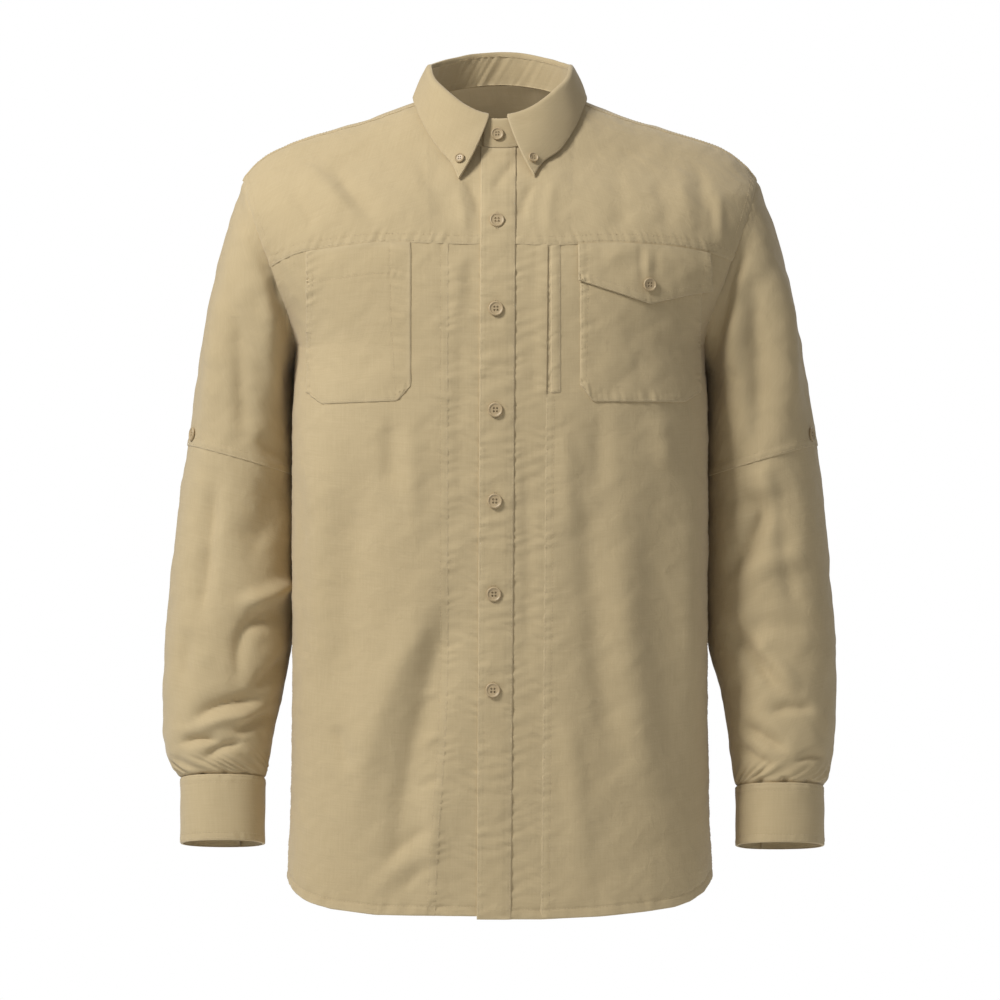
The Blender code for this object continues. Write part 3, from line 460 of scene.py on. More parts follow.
    def armhole_at_depth(self, depth: Array) -> Array:
        """The armhole's x for a depth below the ridge, on either side of it.

        Args:
            depth: Depths.

        Returns:
            Places across.
        """
        heights = np.linspace(self.shoulder_z + 1, self.armpit_z, 400)
        below = self.ridge(self.armhole_x(heights)) - heights
        depths = np.sqrt(np.clip(below, 0, None))
        return self.armhole_x(np.interp(np.abs(depth), depths, heights))


FORM = BodyForm()


# Folds and sheets of cloth


@dataclass(frozen=True)
class Fold:
    """A soft ridge or trough along a line that is drawn in the front view."""

    path: Path
    depth: float
    before: float
    after: float
    crisp: float = 0
    face: Face = Face.FRONT

    def shift(self, x: Array, z: Array) -> Array:
        """How far the fold lifts the cloth at these places.

        Args:
            x: Places across.
            z: Heights.

        Returns:
            The lift, negative in a trough.
        """
        line = curve_through(self.path, 15)
        reach = 3 * max(self.before, self.after)
        lift = np.zeros(x.shape)
        near = (x > line[:, 0].min() - reach) & (x < line[:, 0].max() + reach)
        near &= (z > line[:, 1].min() - reach) & (z < line[:, 1].max() + reach)
        if not near.any():
            return lift
        start, step = line[:-1], np.diff(line, axis=0)
        long = np.maximum(np.hypot(step[:, 0], step[:, 1]), 1e-6)
        total = long.sum()
        from_x = x[near][:, None] - start[:, 0]
        from_z = z[near][:, None] - start[:, 1]
        t = np.clip((from_x * step[:, 0] + from_z * step[:, 1]) / long**2, 0, 1)
        off = np.hypot(from_x - t * step[:, 0], from_z - t * step[:, 1])
        k = np.argmin(off, axis=1)
        pick = np.arange(len(k))
        side = from_x[pick, k] * step[k, 1] - from_z[pick, k] * step[k, 0]
        part = ((np.cumsum(long) - long)[k] + t[pick, k] * long[k]) / total
        share = off[pick, k] / np.where(side > 0, self.before, self.after)
        form = (1 - self.crisp) * np.exp(-(share**2)) + self.crisp * np.exp(-1.7 * share)
        fade = ease(part / 0.32) * ease((1 - part) / 0.32)
        lift[near] = self.depth * form * (0.12 + 0.88 * fade)
        return lift


@dataclass
class Sheet:
    """A piece of cloth on a grid of points: rows run down and columns run across."""

    name: str
    points: Array
    centre: tuple[float, float] = (0, -5)
    closed: bool = False
    thick: float = 0.9
    lift: Array = field(init=False)
    normals: Array = field(init=False)
    across: Array = field(init=False)
    down: Array = field(init=False)

    def __post_init__(self) -> None:
        """Works out the outward directions and the distances over the cloth."""
        self.lift = np.zeros(self.points.shape[:2])
        normals = self.grid_normals(self.points)
        away = self.points[..., :2] - np.array(self.centre)
        if (normals[..., :2] * away).sum() < 0:
            normals = -normals
        self.normals = normals
        self.across = lengths_of(np.swapaxes(self.points, 0, 1)).T
        self.down = lengths_of(self.points)

    def grid_normals(self, points: Array) -> Array:
        """Directions square to a grid of points.

        Args:
            points: The grid.

        Returns:
            Directions of length one.
        """
        if self.closed:
            along = np.roll(points, -1, axis=1) - np.roll(points, 1, axis=1)
        else:
            along = np.gradient(points, axis=1)
        return unit(np.cross(along, np.gradient(points, axis=0)))

    def distance(self, edge: Edge) -> Array:
        """Distance of each point from a border.

        Args:
            edge: The border.

        Returns:
            The distances.
        """
        if edge is FIRST:
            return self.across
        if edge is LAST:
            return self.across[:, -1:] - self.across
        if edge is TOP:
            return self.down
        return self.down[-1:] - self.down

    def run(self, edge: Edge) -> Array:
        """Distance of each point along a border."""
        return self.down if edge in (FIRST, LAST) else self.across

    def raise_by(self, level: float) -> "Sheet":
        """Lifts the whole sheet."""
        self.lift += level
        return self

    def fold(self, folds: Sequence[Fold], scale: float = 1.7) -> "Sheet":
        """Adds folds that are drawn in the front view, made deeper by the scale.

        Args:
            folds: The folds.
            scale: How much deeper they get.

        Returns:
            The sheet.
        """
        x, z = self.points[..., 0], self.points[..., 2]
        for one in folds:
            facing = ease(one.face.value * self.normals[..., 1] * 2.2)
            self.lift += scale * one.shift(x, z) * facing
        return self

    def rumple(self, depth: float, size: float, seed: float) -> "Sheet":
        """Adds soft unevenness that neighbouring sheets share."""
        self.lift += depth * crumple(self.points, size, seed)
        return self

    def drape(self) -> "Sheet":
        """Adds the folds and unevenness that every layer on the torso shares."""
        return self.fold(BODY_FOLDS).rumple(0.45, 26, 1).rumple(0.3, 11, 4)

    def lap(self, edge: Edge, height: float, reach: float) -> "Sheet":
        """Lifts a border over the cloth beside it."""
        self.lift += height * ease(1 - self.distance(edge) / reach)
        return self

    def roll(self, edge: Edge, radius: float) -> "Sheet":
        """Rounds a turned edge off towards its border.

        Args:
            edge: The border.
            radius: Its roundness.

        Returns:
            The sheet.
        """
        part = np.clip(self.distance(edge) / radius, 0, 1)
        self.lift -= radius * (1 - np.sqrt(1 - (1 - part) ** 2)) * 0.7
        return self

    def pucker(self, edge: Edge, inset: float, depth: float, reach: float, wave: float,
               seed: float) -> "Sheet":
        """Adds the small uneven ripples that a row of stitches draws up.

        Args:
            edge: Border that the row follows.
            inset: Distance of the row from the border.
            depth: Height of the ripples.
            reach: How far they spread to either side.
            wave: Mean length of a ripple.
            seed: Sets one row apart from another.

        Returns:
            The sheet.
        """
        share = (self.distance(edge) - inset) / reach
        wave_height = ripple(self.run(edge) + 0.3 * self.distance(edge), wave, seed)
        self.lift += depth * np.exp(-(share**2)) * wave_height
        return self

    def groove(self, edge: Edge, inset: float, depth: float = 0.3, width: float = 1) -> "Sheet":
        """Presses the cloth in along a row of stitches."""
        self.lift -= depth * np.exp(-(((self.distance(edge) - inset) / width) ** 2))
        return self

    def outer(self) -> Array:
        """The outer face's points."""
        return self.points + self.normals * self.lift[..., None]

    def path(self, edge: Edge, inset: float, start: float = 0, end: float = 0,
             ) -> tuple[Array, Array]:
        """A line on the outer face beside a border, with the outward directions on it.

        Args:
            edge: Border that the line follows.
            inset: Its distance from the border.
            start: How much of the line to leave out at its start.
            end: How much of the line to leave out at its end.

        Returns:
            Points and directions.
        """
        outer = self.outer()
        distance = self.distance(edge)
        run = self.run(edge)
        if edge in (TOP, BOTTOM):
            outer = np.swapaxes(outer, 0, 1)
            distance, run = distance.T, run.T
            normals = np.swapaxes(self.normals, 0, 1)
        else:
            normals = self.normals
        if edge in (LAST, BOTTOM):
            outer, distance, run = outer[:, ::-1], distance[:, ::-1], run[:, ::-1]
            normals = normals[:, ::-1]
        points = np.array([read_line(p, d, inset) for p, d in zip(outer, distance)])
        ways = np.array([read_line(n, d, inset) for n, d in zip(normals, distance)])
        if self.closed and edge in (TOP, BOTTOM):
            points = np.concatenate([points, points[:1]])
            ways = np.concatenate([ways, ways[:1]])
        length = lengths_of(points)
        keep = (length >= start) & (length <= length[-1] - end)
        return points[keep], unit(ways[keep])

    def flat_size(self) -> tuple[float, float, float]:
        """Width, length and area of the cut, in metres and square metres.

        Returns:
            The three measures.
        """
        points = self.points
        if self.closed:
            points = np.concatenate([points, points[:, :1]], axis=1)
        a = points[1:, 1:] - points[:-1, :-1]
        b = points[1:, :-1] - points[:-1, 1:]
        area = np.linalg.norm(np.cross(a, b), axis=-1).sum() / 2
        wide = lengths_of(np.swapaxes(points, 0, 1))[-1].max()
        long = lengths_of(points)[-1].max()
        return wide * MM, long * MM, float(area) * MM * MM

    def faces(self) -> Array:
        """Corners of the faces outside, inside and round the borders.

        Returns:
            Four corners of each face.
        """
        count = self.lift.size
        order = np.arange(count).reshape(self.lift.shape)
        if self.closed:
            order = np.concatenate([order, order[:, :1]], axis=1)
        outside = np.stack([order[:-1, :-1], order[:-1, 1:], order[1:, 1:], order[1:, :-1]], -1)
        outside = outside.reshape(-1, 4)
        faces = [outside, count + outside[:, [0, 3, 2, 1]]]
        borders = [order[0, ::-1], order[-1]]
        if not self.closed:
            borders += [order[:, 0], order[::-1, -1]]
        for line in borders:
            faces.append(np.stack([line[:-1], line[1:], count + line[1:], count + line[:-1]], 1))
        return np.concatenate(faces)

    def build(self, material: bpy.types.Material) -> bpy.types.Object:
        """Makes the closed wall of cloth.

        Args:
            material: Finish of the cloth.

        Returns:
            The object, with a map of its threads and a mark of its worn borders.
        """
        outer = self.outer()
        both = np.concatenate([outer, outer - self.normals * self.thick]).reshape(-1, 3)
        obj = mesh_object(self.name, both, self.faces(), material, 50)
        self.map_threads(obj.data)
        border = np.minimum(self.down, self.down[-1:] - self.down)
        if not self.closed:
            border = np.minimum(border, self.across)
            border = np.minimum(border, self.across[:, -1:] - self.across)
        worn = np.exp(-border.ravel() / 2.5)
        mark = obj.data.attributes.new("worn", "FLOAT", "POINT")
        mark.data.foreach_set("value", np.concatenate([worn, worn]).astype(np.float32))
        return obj

    def map_threads(self, mesh: bpy.types.Mesh) -> None:
        """Lays the map of the flat cloth over the mesh, and on over a tube's closing column.

        Args:
            mesh: The wall of cloth, all of quads.
        """
        corners = np.empty(len(mesh.loops), np.int32)
        mesh.loops.foreach_get("vertex_index", corners)
        corners %= self.lift.size
        uv = np.stack([self.across, self.down], axis=-1).reshape(-1, 2)[corners]
        uv = uv.reshape(-1, 4, 2)
        if self.closed:
            columns = self.lift.shape[1]
            column = (corners % columns).reshape(-1, 4)
            wraps = (column == 0) & (column.max(axis=1, keepdims=True) == columns - 1)
            gap = np.linalg.norm(self.points[:, 0] - self.points[:, -1], axis=-1)
            uv[..., 0] = np.where(wraps, (self.across[:, -1] + gap).mean(), uv[..., 0])
        layer = mesh.uv_layers.new(name="threads")
        layer.uv.foreach_set("vector", (uv * MM).astype(np.float32).ravel())

    def place(self, material: bpy.types.Material, held: Held, rests_on: Sequence[str] = (),
              slot: str = "cloth") -> None:
        """Makes the sheet and puts it in the place of the node that bears its name.

        Args:
            material: Finish of the cloth.
            held: How the cloth is held; not used.
            rests_on: Nodes that it lies on; not used.
            slot: Slot of the record that the finish belongs to; not used.
        """
        obj = self.build(material)
        obj.name = "cloth_" + self.name
        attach(obj, "root")
        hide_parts(self.name)
        wide, long, area = self.flat_size()
        LOG.info("%s: %d faces, cut %.0f x %.0f mm", obj.name, len(obj.data.polygons),
                 wide / MM, long / MM)


def linked(name: str, data: bpy.types.ID) -> bpy.types.Object:
    """An object of this data, linked to the scene.

    Args:
        name: Name of the object.
        data: What it shows.

    Returns:
        The object.
    """
    obj = bpy.data.objects.new(name, data)
    bpy.context.scene.collection.objects.link(obj)
    return obj


def mesh_object(name: str, points: Array, faces: Sequence[Sequence[int]] | Array,
                material: bpy.types.Material, sharp: float = 0) -> bpy.types.Object:
    """A smooth closed mesh whose faces look outwards.

    Args:
        name: Name of the object.
        points: Its points in millimetres.
        faces: Corners of each face.
        material: Its finish.
        sharp: Angle in degrees over which an edge is drawn sharp, or 0.

    Returns:
        The object, linked to the scene.
    """
    mesh = bpy.data.meshes.new(name)
    mesh.from_pydata(points * MM, [], faces)
    mesh.polygons.foreach_set("use_smooth", [True] * len(mesh.polygons))
    if sharp:
        mesh.set_sharp_from_angle(angle=math.radians(sharp))
    mesh.materials.append(material)
    mesh.calc_loop_triangles()
    corners = np.empty(len(mesh.loop_triangles) * 3, np.int32)
    mesh.loop_triangles.foreach_get("vertices", corners)
    a, b, c = points[corners.reshape(-1, 3)].transpose(1, 0, 2)
    if (a * np.cross(b, c)).sum() < 0:
        mesh.flip_normals()
    return linked(name, mesh)


@dataclass
class Stitching:
    """Rows of thread, each stitch a short rounded bar that dips into the cloth."""

    name: str
    pitch: float = 3
    length: float = 2.2
    width: float = 0.55
    starts: list[Array] = field(default_factory=list)
    ends: list[Array] = field(default_factory=list)
    ways: list[Array] = field(default_factory=list)

    def sew(self, line: tuple[Array, Array]) -> None:
        """Adds a row of stitches along a line of points with outward directions.

        Args:
            line: Points and directions of the row.
        """
        points, ways = line
        if len(points) < 2:
            return
        length = lengths_of(points)
        count = int(length[-1] // self.pitch)
        if count < 1:
            return
        at = (np.arange(count) + 0.5) * length[-1] / count
        self.starts.append(read_line(points, length, at - self.length / 2))
        self.ends.append(read_line(points, length, at + self.length / 2))
        self.ways.append(unit(read_line(ways, length, at)))

    def follow(self, sheet: Sheet, *lines: tuple[object, ...]) -> None:
        """Sews rows along a sheet's borders, each given as Sheet.path takes it."""
        for line in lines:
            self.sew(sheet.path(*line))

    def place(self, material: bpy.types.Material) -> None:
        """Makes all the stitches as one object on the shirt.

        Args:
            material: The thread's finish.
        """
        start, end = np.concatenate(self.starts), np.concatenate(self.ends)
        way = np.concatenate(self.ways)
        side = unit(np.cross(unit(end - start), way))
        rings = [start - way * 0.30]
        for share, rise, scale in ((0.12, -0.05, 0.75), (0.5, 0.16, 1), (0.88, -0.05, 0.75)):
            middle = start + (end - start) * share + way * rise
            for a, b in ((1, 0), (0, 1), (-1, 0), (0, -1)):
                rings.append(middle + (side * a + way * b * 0.8) * self.width / 2 * scale)
        rings.append(end - way * 0.30)
        points = np.stack(rings, axis=1).reshape(-1, 3)
        base = np.arange(len(start))[:, None] * len(rings)
        faces = []
        for k in range(4):
            m = (k + 1) % 4
            for corners in ((0, 1 + m, 1 + k), (1 + k, 1 + m, 5 + m, 5 + k),
                            (5 + k, 5 + m, 9 + m, 9 + k), (9 + k, 9 + m, 13)):
                faces += (base + np.array(corners)).tolist()
        obj = mesh_object(self.name, points, faces, material)
        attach(obj, "root")
        LOG.info("%s: %d stitches", self.name, len(start))


# Finishes


class Wiring:
    """The nodes of one shader tree."""

    def __init__(self, tree: bpy.types.NodeTree) -> None:
        """Takes the tree that the nodes go into."""
        self.tree = tree

    def add(self, kind: str, feeds: Feeds | None = None, **settings: object) -> bpy.types.Node:
        """Adds a node.

        Args:
            kind: Its type, without the leading ShaderNode.
            feeds: A socket or a value for each input, by its name or number.
            settings: The node's own settings.

        Returns:
            The node.
        """
        node = self.tree.nodes.new("ShaderNode" + kind)
        for name, value in settings.items():
            setattr(node, name, value)
        self.feed(node, feeds or {})
        return node

    def feed(self, node: bpy.types.Node, feeds: Feeds) -> None:
        """Links sockets to a node's inputs, or sets their values.

        Args:
            node: The node.
            feeds: A socket or a value for each input, by its name or number.
        """
        for key, value in feeds.items():
            if isinstance(value, bpy.types.NodeSocket):
                self.tree.links.new(value, node.inputs[key])
            else:
                node.inputs[key].default_value = value

    def sum(self, operation: str, *terms: object) -> bpy.types.NodeSocket:
        """The result of a math node fed by sockets or numbers."""
        return self.add("Math", dict(enumerate(terms)), operation=operation).outputs[0]

    def noise(self, place: bpy.types.NodeSocket, **feeds: object) -> bpy.types.NodeSocket:
        """The value of a noise whose inputs are given by name."""
        return self.add("TexNoise", {"Vector": place, **feeds}).outputs["Fac"]

    def blend(self, share: bpy.types.NodeSocket, first: object, second: Place,
              ) -> bpy.types.NodeSocket:
        """A colour between two others, the first of which may be a socket.

        Args:
            share: How much of the second.
            first: A colour or a socket.
            second: A colour.

        Returns:
            The colour's socket.
        """
        first = (*first, 1) if isinstance(first, tuple) else first
        feeds = {"Factor": share, 6: first, 7: (*second, 1)}
        return self.add("Mix", feeds, data_type="RGBA").outputs[2]

    def bump(self, height: bpy.types.NodeSocket, distance: float) -> bpy.types.NodeSocket:
        """The normal of a bumpy surface."""
        feeds = {"Height": height, "Strength": 1, "Distance": distance}
        return self.add("Bump", feeds).outputs["Normal"]


def new_group(name: str, inputs: dict[str, float | None], outputs: Sequence[str],
              ) -> tuple[Wiring, bpy.types.Node, bpy.types.Node]:
    """An empty shader node group with named sockets.

    Args:
        name: Name of the group.
        inputs: Name and start value of each input. None makes a vector.
        outputs: Names of the numbers it puts out.

    Returns:
        The group's nodes, its input node and its output node.
    """
    tree = bpy.data.node_groups.new(name, "ShaderNodeTree")
    for label, value in inputs.items():
        kind = "NodeSocketVector" if value is None else "NodeSocketFloat"
        socket = tree.interface.new_socket(label, in_out="INPUT", socket_type=kind)
        if value is not None:
            socket.default_value = value
    for label in outputs:
        tree.interface.new_socket(label, in_out="OUTPUT", socket_type="NodeSocketFloat")
    return Wiring(tree), tree.nodes.new("NodeGroupInput"), tree.nodes.new("NodeGroupOutput")


def new_material(name: str) -> tuple[bpy.types.Material, Wiring, bpy.types.Node]:
    """A material, its nodes and its Principled shader.

    Args:
        name: Name of the material.

    Returns:
        All three.
    """
    material = bpy.data.materials.new(name)
    material.use_nodes = True
    tree = material.node_tree
    return material, Wiring(tree), tree.nodes["Principled BSDF"]


class Effects:
    """The node groups that the finishes share."""

    def __init__(self) -> None:
        """Builds every group once."""
        self.weave = self.build_weave()
        self.slub = self.build_slub()
        self.crinkle = self.build_crinkle()

    def build_weave(self) -> bpy.types.NodeTree:
        """Plain weave of threads over and under, from the map of the flat cloth, with painted shade
        in the gaps between the threads.

        Returns:
            The group.
        """
        wires, start, end = new_group("plain_weave", {"Threads": None, "Pitch": 0.0006},
                                      ("Height", "Gap"))
        split = wires.add("SeparateXYZ", {0: start.outputs["Threads"]})
        waves = []
        for axis in (0, 1):
            turn = wires.sum("DIVIDE", split.outputs[axis], start.outputs["Pitch"])
            waves.append(wires.sum("SINE", wires.sum("MULTIPLY", turn, math.pi)))
        over = wires.sum("MULTIPLY", *waves)
        warp, weft = (wires.sum("ABSOLUTE", wave) for wave in waves)
        bulge = wires.sum("MULTIPLY_ADD", warp, 0.5, wires.sum("MULTIPLY", weft, 0.5))
        # painted shade: high in the gaps between threads, where it darkens the colour
        gap = wires.sum("SUBTRACT", 1, wires.sum("MAXIMUM", warp, weft))
        wires.feed(end, {"Height": wires.sum("MULTIPLY_ADD", over, 0.3, bulge), "Gap": gap})
        return wires.tree

    def build_slub(self) -> bpy.types.NodeTree:
        """Uneven threads and broad clouds of tone.

        Returns:
            The group.
        """
        wires, start, end = new_group(
            "slub_tone", {"Threads": None, "Place": None, "Thread Scale": 900.0},
            ("Warp", "Weft", "Cloud"))
        scale, threads = start.outputs["Thread Scale"], start.outputs["Threads"]
        for label, stretch in (("Warp", (1, 0.035, 1)), ("Weft", (0.035, 1, 1))):
            long = wires.add("VectorMath", {0: threads, 1: stretch}, operation="MULTIPLY")
            wires.feed(end, {label: wires.noise(long.outputs[0], Scale=scale, Detail=2)})
        cloud = wires.noise(start.outputs["Place"], Scale=7, Detail=4)
        wires.feed(end, {"Cloud": cloud})
        return wires.tree

    def build_crinkle(self) -> bpy.types.NodeTree:
        """Small soft creases of washed cotton.

        Returns:
            The group.
        """
        wires, start, end = new_group("washed_crinkle", {"Place": None, "Scale": 60.0},
                                      ("Height",))
        wide = wires.noise(start.outputs["Place"], Scale=start.outputs["Scale"], Detail=3,
                           Distortion=0.6)
        ridge = wires.sum("ABSOLUTE", wires.sum("SUBTRACT", wide, 0.5))
        wires.feed(end, {"Height": wires.sum("MULTIPLY_ADD", ridge, 0.5, wide)})
        return wires.tree


@dataclass(frozen=True)
class ClothFinish:
    """Washed khaki cotton in plain weave."""

    name: str = "khaki_cotton"
    light: Place = (0.560, 0.446, 0.262)
    dark: Place = (0.480, 0.372, 0.208)
    worn: Place = (0.620, 0.505, 0.315)
    pitch: float = 0.0006
    weave_depth: float = 0.00006
    slub_depth: float = 0.00006
    crinkle_depth: float = 0.0007
    crinkle_scale: float = 55
    tone_level: float = -0.68
    slub_tone: float = 0.8
    cloud_tone: float = 0.7
    # how much painted shade darkens the gaps between threads
    gap_shade_tone: float = 0.9
    wear: float = 0.7
    roughness: float = 0.80
    cloud_roughness: float = 0.12
    sheen: float = 0.18

    def build(self, effects: Effects) -> bpy.types.Material:
        """Makes the material.

        Args:
            effects: The shared node groups.

        Returns:
            The material.
        """
        material, wires, shader = new_material(self.name)
        threads = wires.add("UVMap", uv_map="threads").outputs[0]
        place = wires.add("TexCoord").outputs["Object"]
        weave = wires.add("Group", {"Pitch": self.pitch, "Threads": threads},
                          node_tree=effects.weave).outputs
        slub = wires.add("Group", {"Thread Scale": 0.55 / self.pitch, "Threads": threads,
                                   "Place": place}, node_tree=effects.slub).outputs
        crinkle = wires.add("Group", {"Scale": self.crinkle_scale, "Place": place},
                            node_tree=effects.crinkle).outputs
        tone = wires.sum("ADD", slub["Warp"], slub["Weft"])
        tone = wires.sum("MULTIPLY_ADD", tone, self.slub_tone, self.tone_level)
        tone = wires.sum("MULTIPLY_ADD", slub["Cloud"], self.cloud_tone, tone)
        # painted shade: the gaps between threads darken the cloth colour
        tone = wires.sum("MULTIPLY_ADD", weave["Gap"], self.gap_shade_tone, tone)
        mark = wires.add("Attribute", attribute_name="worn").outputs["Fac"]
        share = wires.sum("MULTIPLY", wires.sum("MULTIPLY", mark, slub["Cloud"]), self.wear)
        height = wires.sum("MULTIPLY", weave["Height"], self.weave_depth)
        height = wires.sum("MULTIPLY_ADD", crinkle["Height"], self.crinkle_depth, height)
        height = wires.sum("MULTIPLY_ADD", slub["Weft"], self.slub_depth, height)
        wires.feed(shader, {
            "Base Color": wires.blend(share, wires.blend(tone, self.light, self.dark), self.worn),
            "Roughness": wires.sum("MULTIPLY_ADD", slub["Cloud"], self.cloud_roughness,
                                   self.roughness),
            "Normal": wires.bump(height, 1),
            "Sheen Weight": self.sheen,
            "Sheen Roughness": 0.55,
            "Specular IOR Level": 0.25,
        })
        return material


@dataclass(frozen=True)
class ThreadFinish:
    """Twisted sewing thread."""

    name: str = "khaki_thread"
    colour: Place = (0.600, 0.480, 0.285)
    shade: Place = (0.470, 0.360, 0.200)

    def build(self) -> bpy.types.Material:
        """Makes the material, with a fine twist across the thread.

        Returns:
            The material.
        """
        material, wires, shader = new_material(self.name)
        twist = wires.noise(wires.add("TexCoord").outputs["Object"], Scale=900)
        wires.feed(shader, {
            "Base Color": wires.blend(twist, self.colour, self.shade),
            "Normal": wires.bump(twist, 0.0001),
            "Roughness": 0.62,
            "Sheen Weight": 0.2,
        })
        return material


@dataclass(frozen=True)
class ButtonFinish:
    """Satin tan resin with faint swirls."""

    name: str = "tan_resin"
    light: Place = (0.510, 0.395, 0.232)
    dark: Place = (0.410, 0.300, 0.165)

    def build(self) -> bpy.types.Material:
        """Makes the material.

        Returns:
            The material.
        """
        material, wires, shader = new_material(self.name)
        swirl = wires.noise(wires.add("TexCoord").outputs["Object"], Scale=160, Detail=5,
                            Distortion=1.6)
        wires.feed(shader, {
            "Base Color": wires.blend(swirl, self.light, self.dark),
            "Normal": wires.bump(swirl, 0.00008),
            "Roughness": wires.sum("MULTIPLY_ADD", swirl, 0.2, 0.34),
            "Specular IOR Level": 0.5,
        })
        return material


@dataclass
class Finishes:
    """Every material of the shirt."""

    cloth: bpy.types.Material
    firm: bpy.types.Material
    thread: bpy.types.Material
    button: bpy.types.Material

    @classmethod
    def make(cls) -> "Finishes":
        """Builds the node groups and the materials.

        Returns:
            The materials.
        """
        effects = Effects()
        firm = ClothFinish(name="khaki_cotton_firm", crinkle_depth=0.0004, crinkle_scale=70)
        return cls(ClothFinish().build(effects), firm.build(effects), ThreadFinish().build(),
                   ButtonFinish().build())


# Folds of the torso and the sleeves, drawn in the front view


def folds(*rows: tuple[object, ...], face: Face = Face.FRONT) -> tuple[Fold, ...]:
    """Folds from rows of path, depth, widths on either side and crispness."""
    return tuple(Fold(*row, face=face) for row in rows)


BODY_FOLDS: tuple[Fold, ...] = folds(
    (((-169, -296), (-176, -430), (-174, -569)), 2.5, 18, 20),
    (((-127, -320), (-138, -400), (-148, -494), (-156, -610)), -4.2, 24, 22),
    (((-54, -440), (-86, -520), (-115, -587), (-143, -690)), 3.4, 20, 15),
    (((-44, -460), (-68, -560), (-87, -640), (-100, -735)), -4.8, 13, 22, 0.15),
    (((-114, -728), (-92, -706), (-62, -684)), -2, 8, 11, 0.3),
    (((-120, -752), (-101, -730), (-76, -712)), 1.2, 9, 8),
    (((-96, -752), (-80, -734), (-58, -722)), -1.2, 6, 8, 0.2),
    (((-58, -560), (-72, -566)), 0.8, 4, 4),
    (((-54, -600), (-74, -610)), 0.9, 4, 4),
    (((-56, -640), (-78, -652)), -0.9, 4, 5),
    (((-158, -590), (-141, -640)), -2, 6, 9, 0.3),
    (((-28, -146), (-29, -212)), -0.6, 6, 9),
    (((-40, -150), (-41, -230)), 0.7, 7, 7),
    (((-36, -193), (-38, -300), (-37, -400)), -0.6, 6, 8),
    (((-101, -296), (-105, -381)), -2.2, 8, 12),
    (((-84, -300), (-80, -420)), 1.4, 9, 9),
    (((-190, -330), (-186, -470), (-192, -560)), -2.2, 9, 12),
    (((-60, -640), (-66, -745)), 1.8, 12, 10),
    (((80, -330), (92, -500), (113, -660)), -3.3, 16, 24),
    (((108, -400), (122, -550), (146, -680)), 2.4, 20, 18),
    (((141, -330), (158, -560), (186, -700)), -3, 20, 22),
    (((60, -300), (66, -420)), 1.4, 9, 11),
    (((92, -296), (94, -380)), -1.6, 8, 10),
    (((150, -296), (160, -360)), 1.8, 11, 11),
    (((185, -330), (181, -480), (188, -600)), 2.2, 11, 11),
    (((60, -560), (72, -660), (80, -745)), 1.8, 13, 11),
    (((24, -300), (26, -430), (25, -560)), -0.8, 6, 8),
    (((-160, -61), (-140, -92), (-113, -122)), -2, 8, 12, 0.15),
    (((-190, -62), (-166, -84), (-138, -112)), 1.6, 10, 10),
    (((-204, -80), (-184, -106), (-176, -132)), -1.4, 8, 8),
    (((-84, -50), (-62, -88), (-44, -128)), -1, 9, 12),
    (((-34, -76), (-24, -96), (-19, -118)), -1.8, 3.5, 6, 0.4),
    (((-42, -80), (-34, -110), (-33, -136)), 1.1, 5, 5),
    (((16, -58), (2, -76), (-9, -92)), -1.3, 4, 6, 0.3),
    (((33, -80), (24, -98), (18, -120)), -1.6, 5, 3.5, 0.4),
    (((52, -76), (46, -104), (47, -134)), 1.1, 6, 6),
    (((112, -78), (118, -132)), -0.8, 11, 8),
    (((150, -76), (160, -134)), -0.9, 8, 10),
    (((186, -56), (193, -96), (190, -136)), -1, 8, 7),
    (((172, -60), (177, -120)), 0.7, 8, 8),
    (((207, -84), (209, -136)), 1.1, 6, 5),
    (((201, -96), (202, -138)), -0.8, 5, 5),
) + folds(
    (((-120, -190), (-108, -420), (-95, -640)), -4, 20, 28),
    (((-30, -240), (-34, -450), (-45, -700)), 3, 22, 28),
    (((70, -200), (58, -420), (60, -690)), -4, 24, 20),
    (((140, -230), (150, -420), (150, -620)), 3, 24, 20),
    (((-196, -170), (-160, -260), (-130, -330)), -3, 12, 16, 0.2),
    (((-190, -240), (-150, -330), (-120, -430)), 2, 14, 14),
    (((196, -175), (162, -255), (128, -340)), -3, 14, 11, 0.2),
    (((188, -260), (160, -340), (140, -420)), 2, 14, 14),
    (((-170, -520), (-130, -640), (-122, -740)), -3, 14, 18, 0.1),
    (((176, -500), (120, -620), (108, -745)), -3.4, 18, 12, 0.2),
    (((10, -480), (4, -620), (16, -760)), -2.4, 16, 12),
    (((-80, -500), (-76, -640), (-84, -760)), 2.4, 14, 12),
    (((-60, -124), (-54, -200)), -1.4, 8, 10),
    (((52, -124), (60, -210)), -1.4, 9, 8),
    (((-150, -60), (-120, -110)), -1.6, 9, 11),
    (((150, -55), (128, -112)), -1.6, 10, 9),
    face=Face.BACK,
)

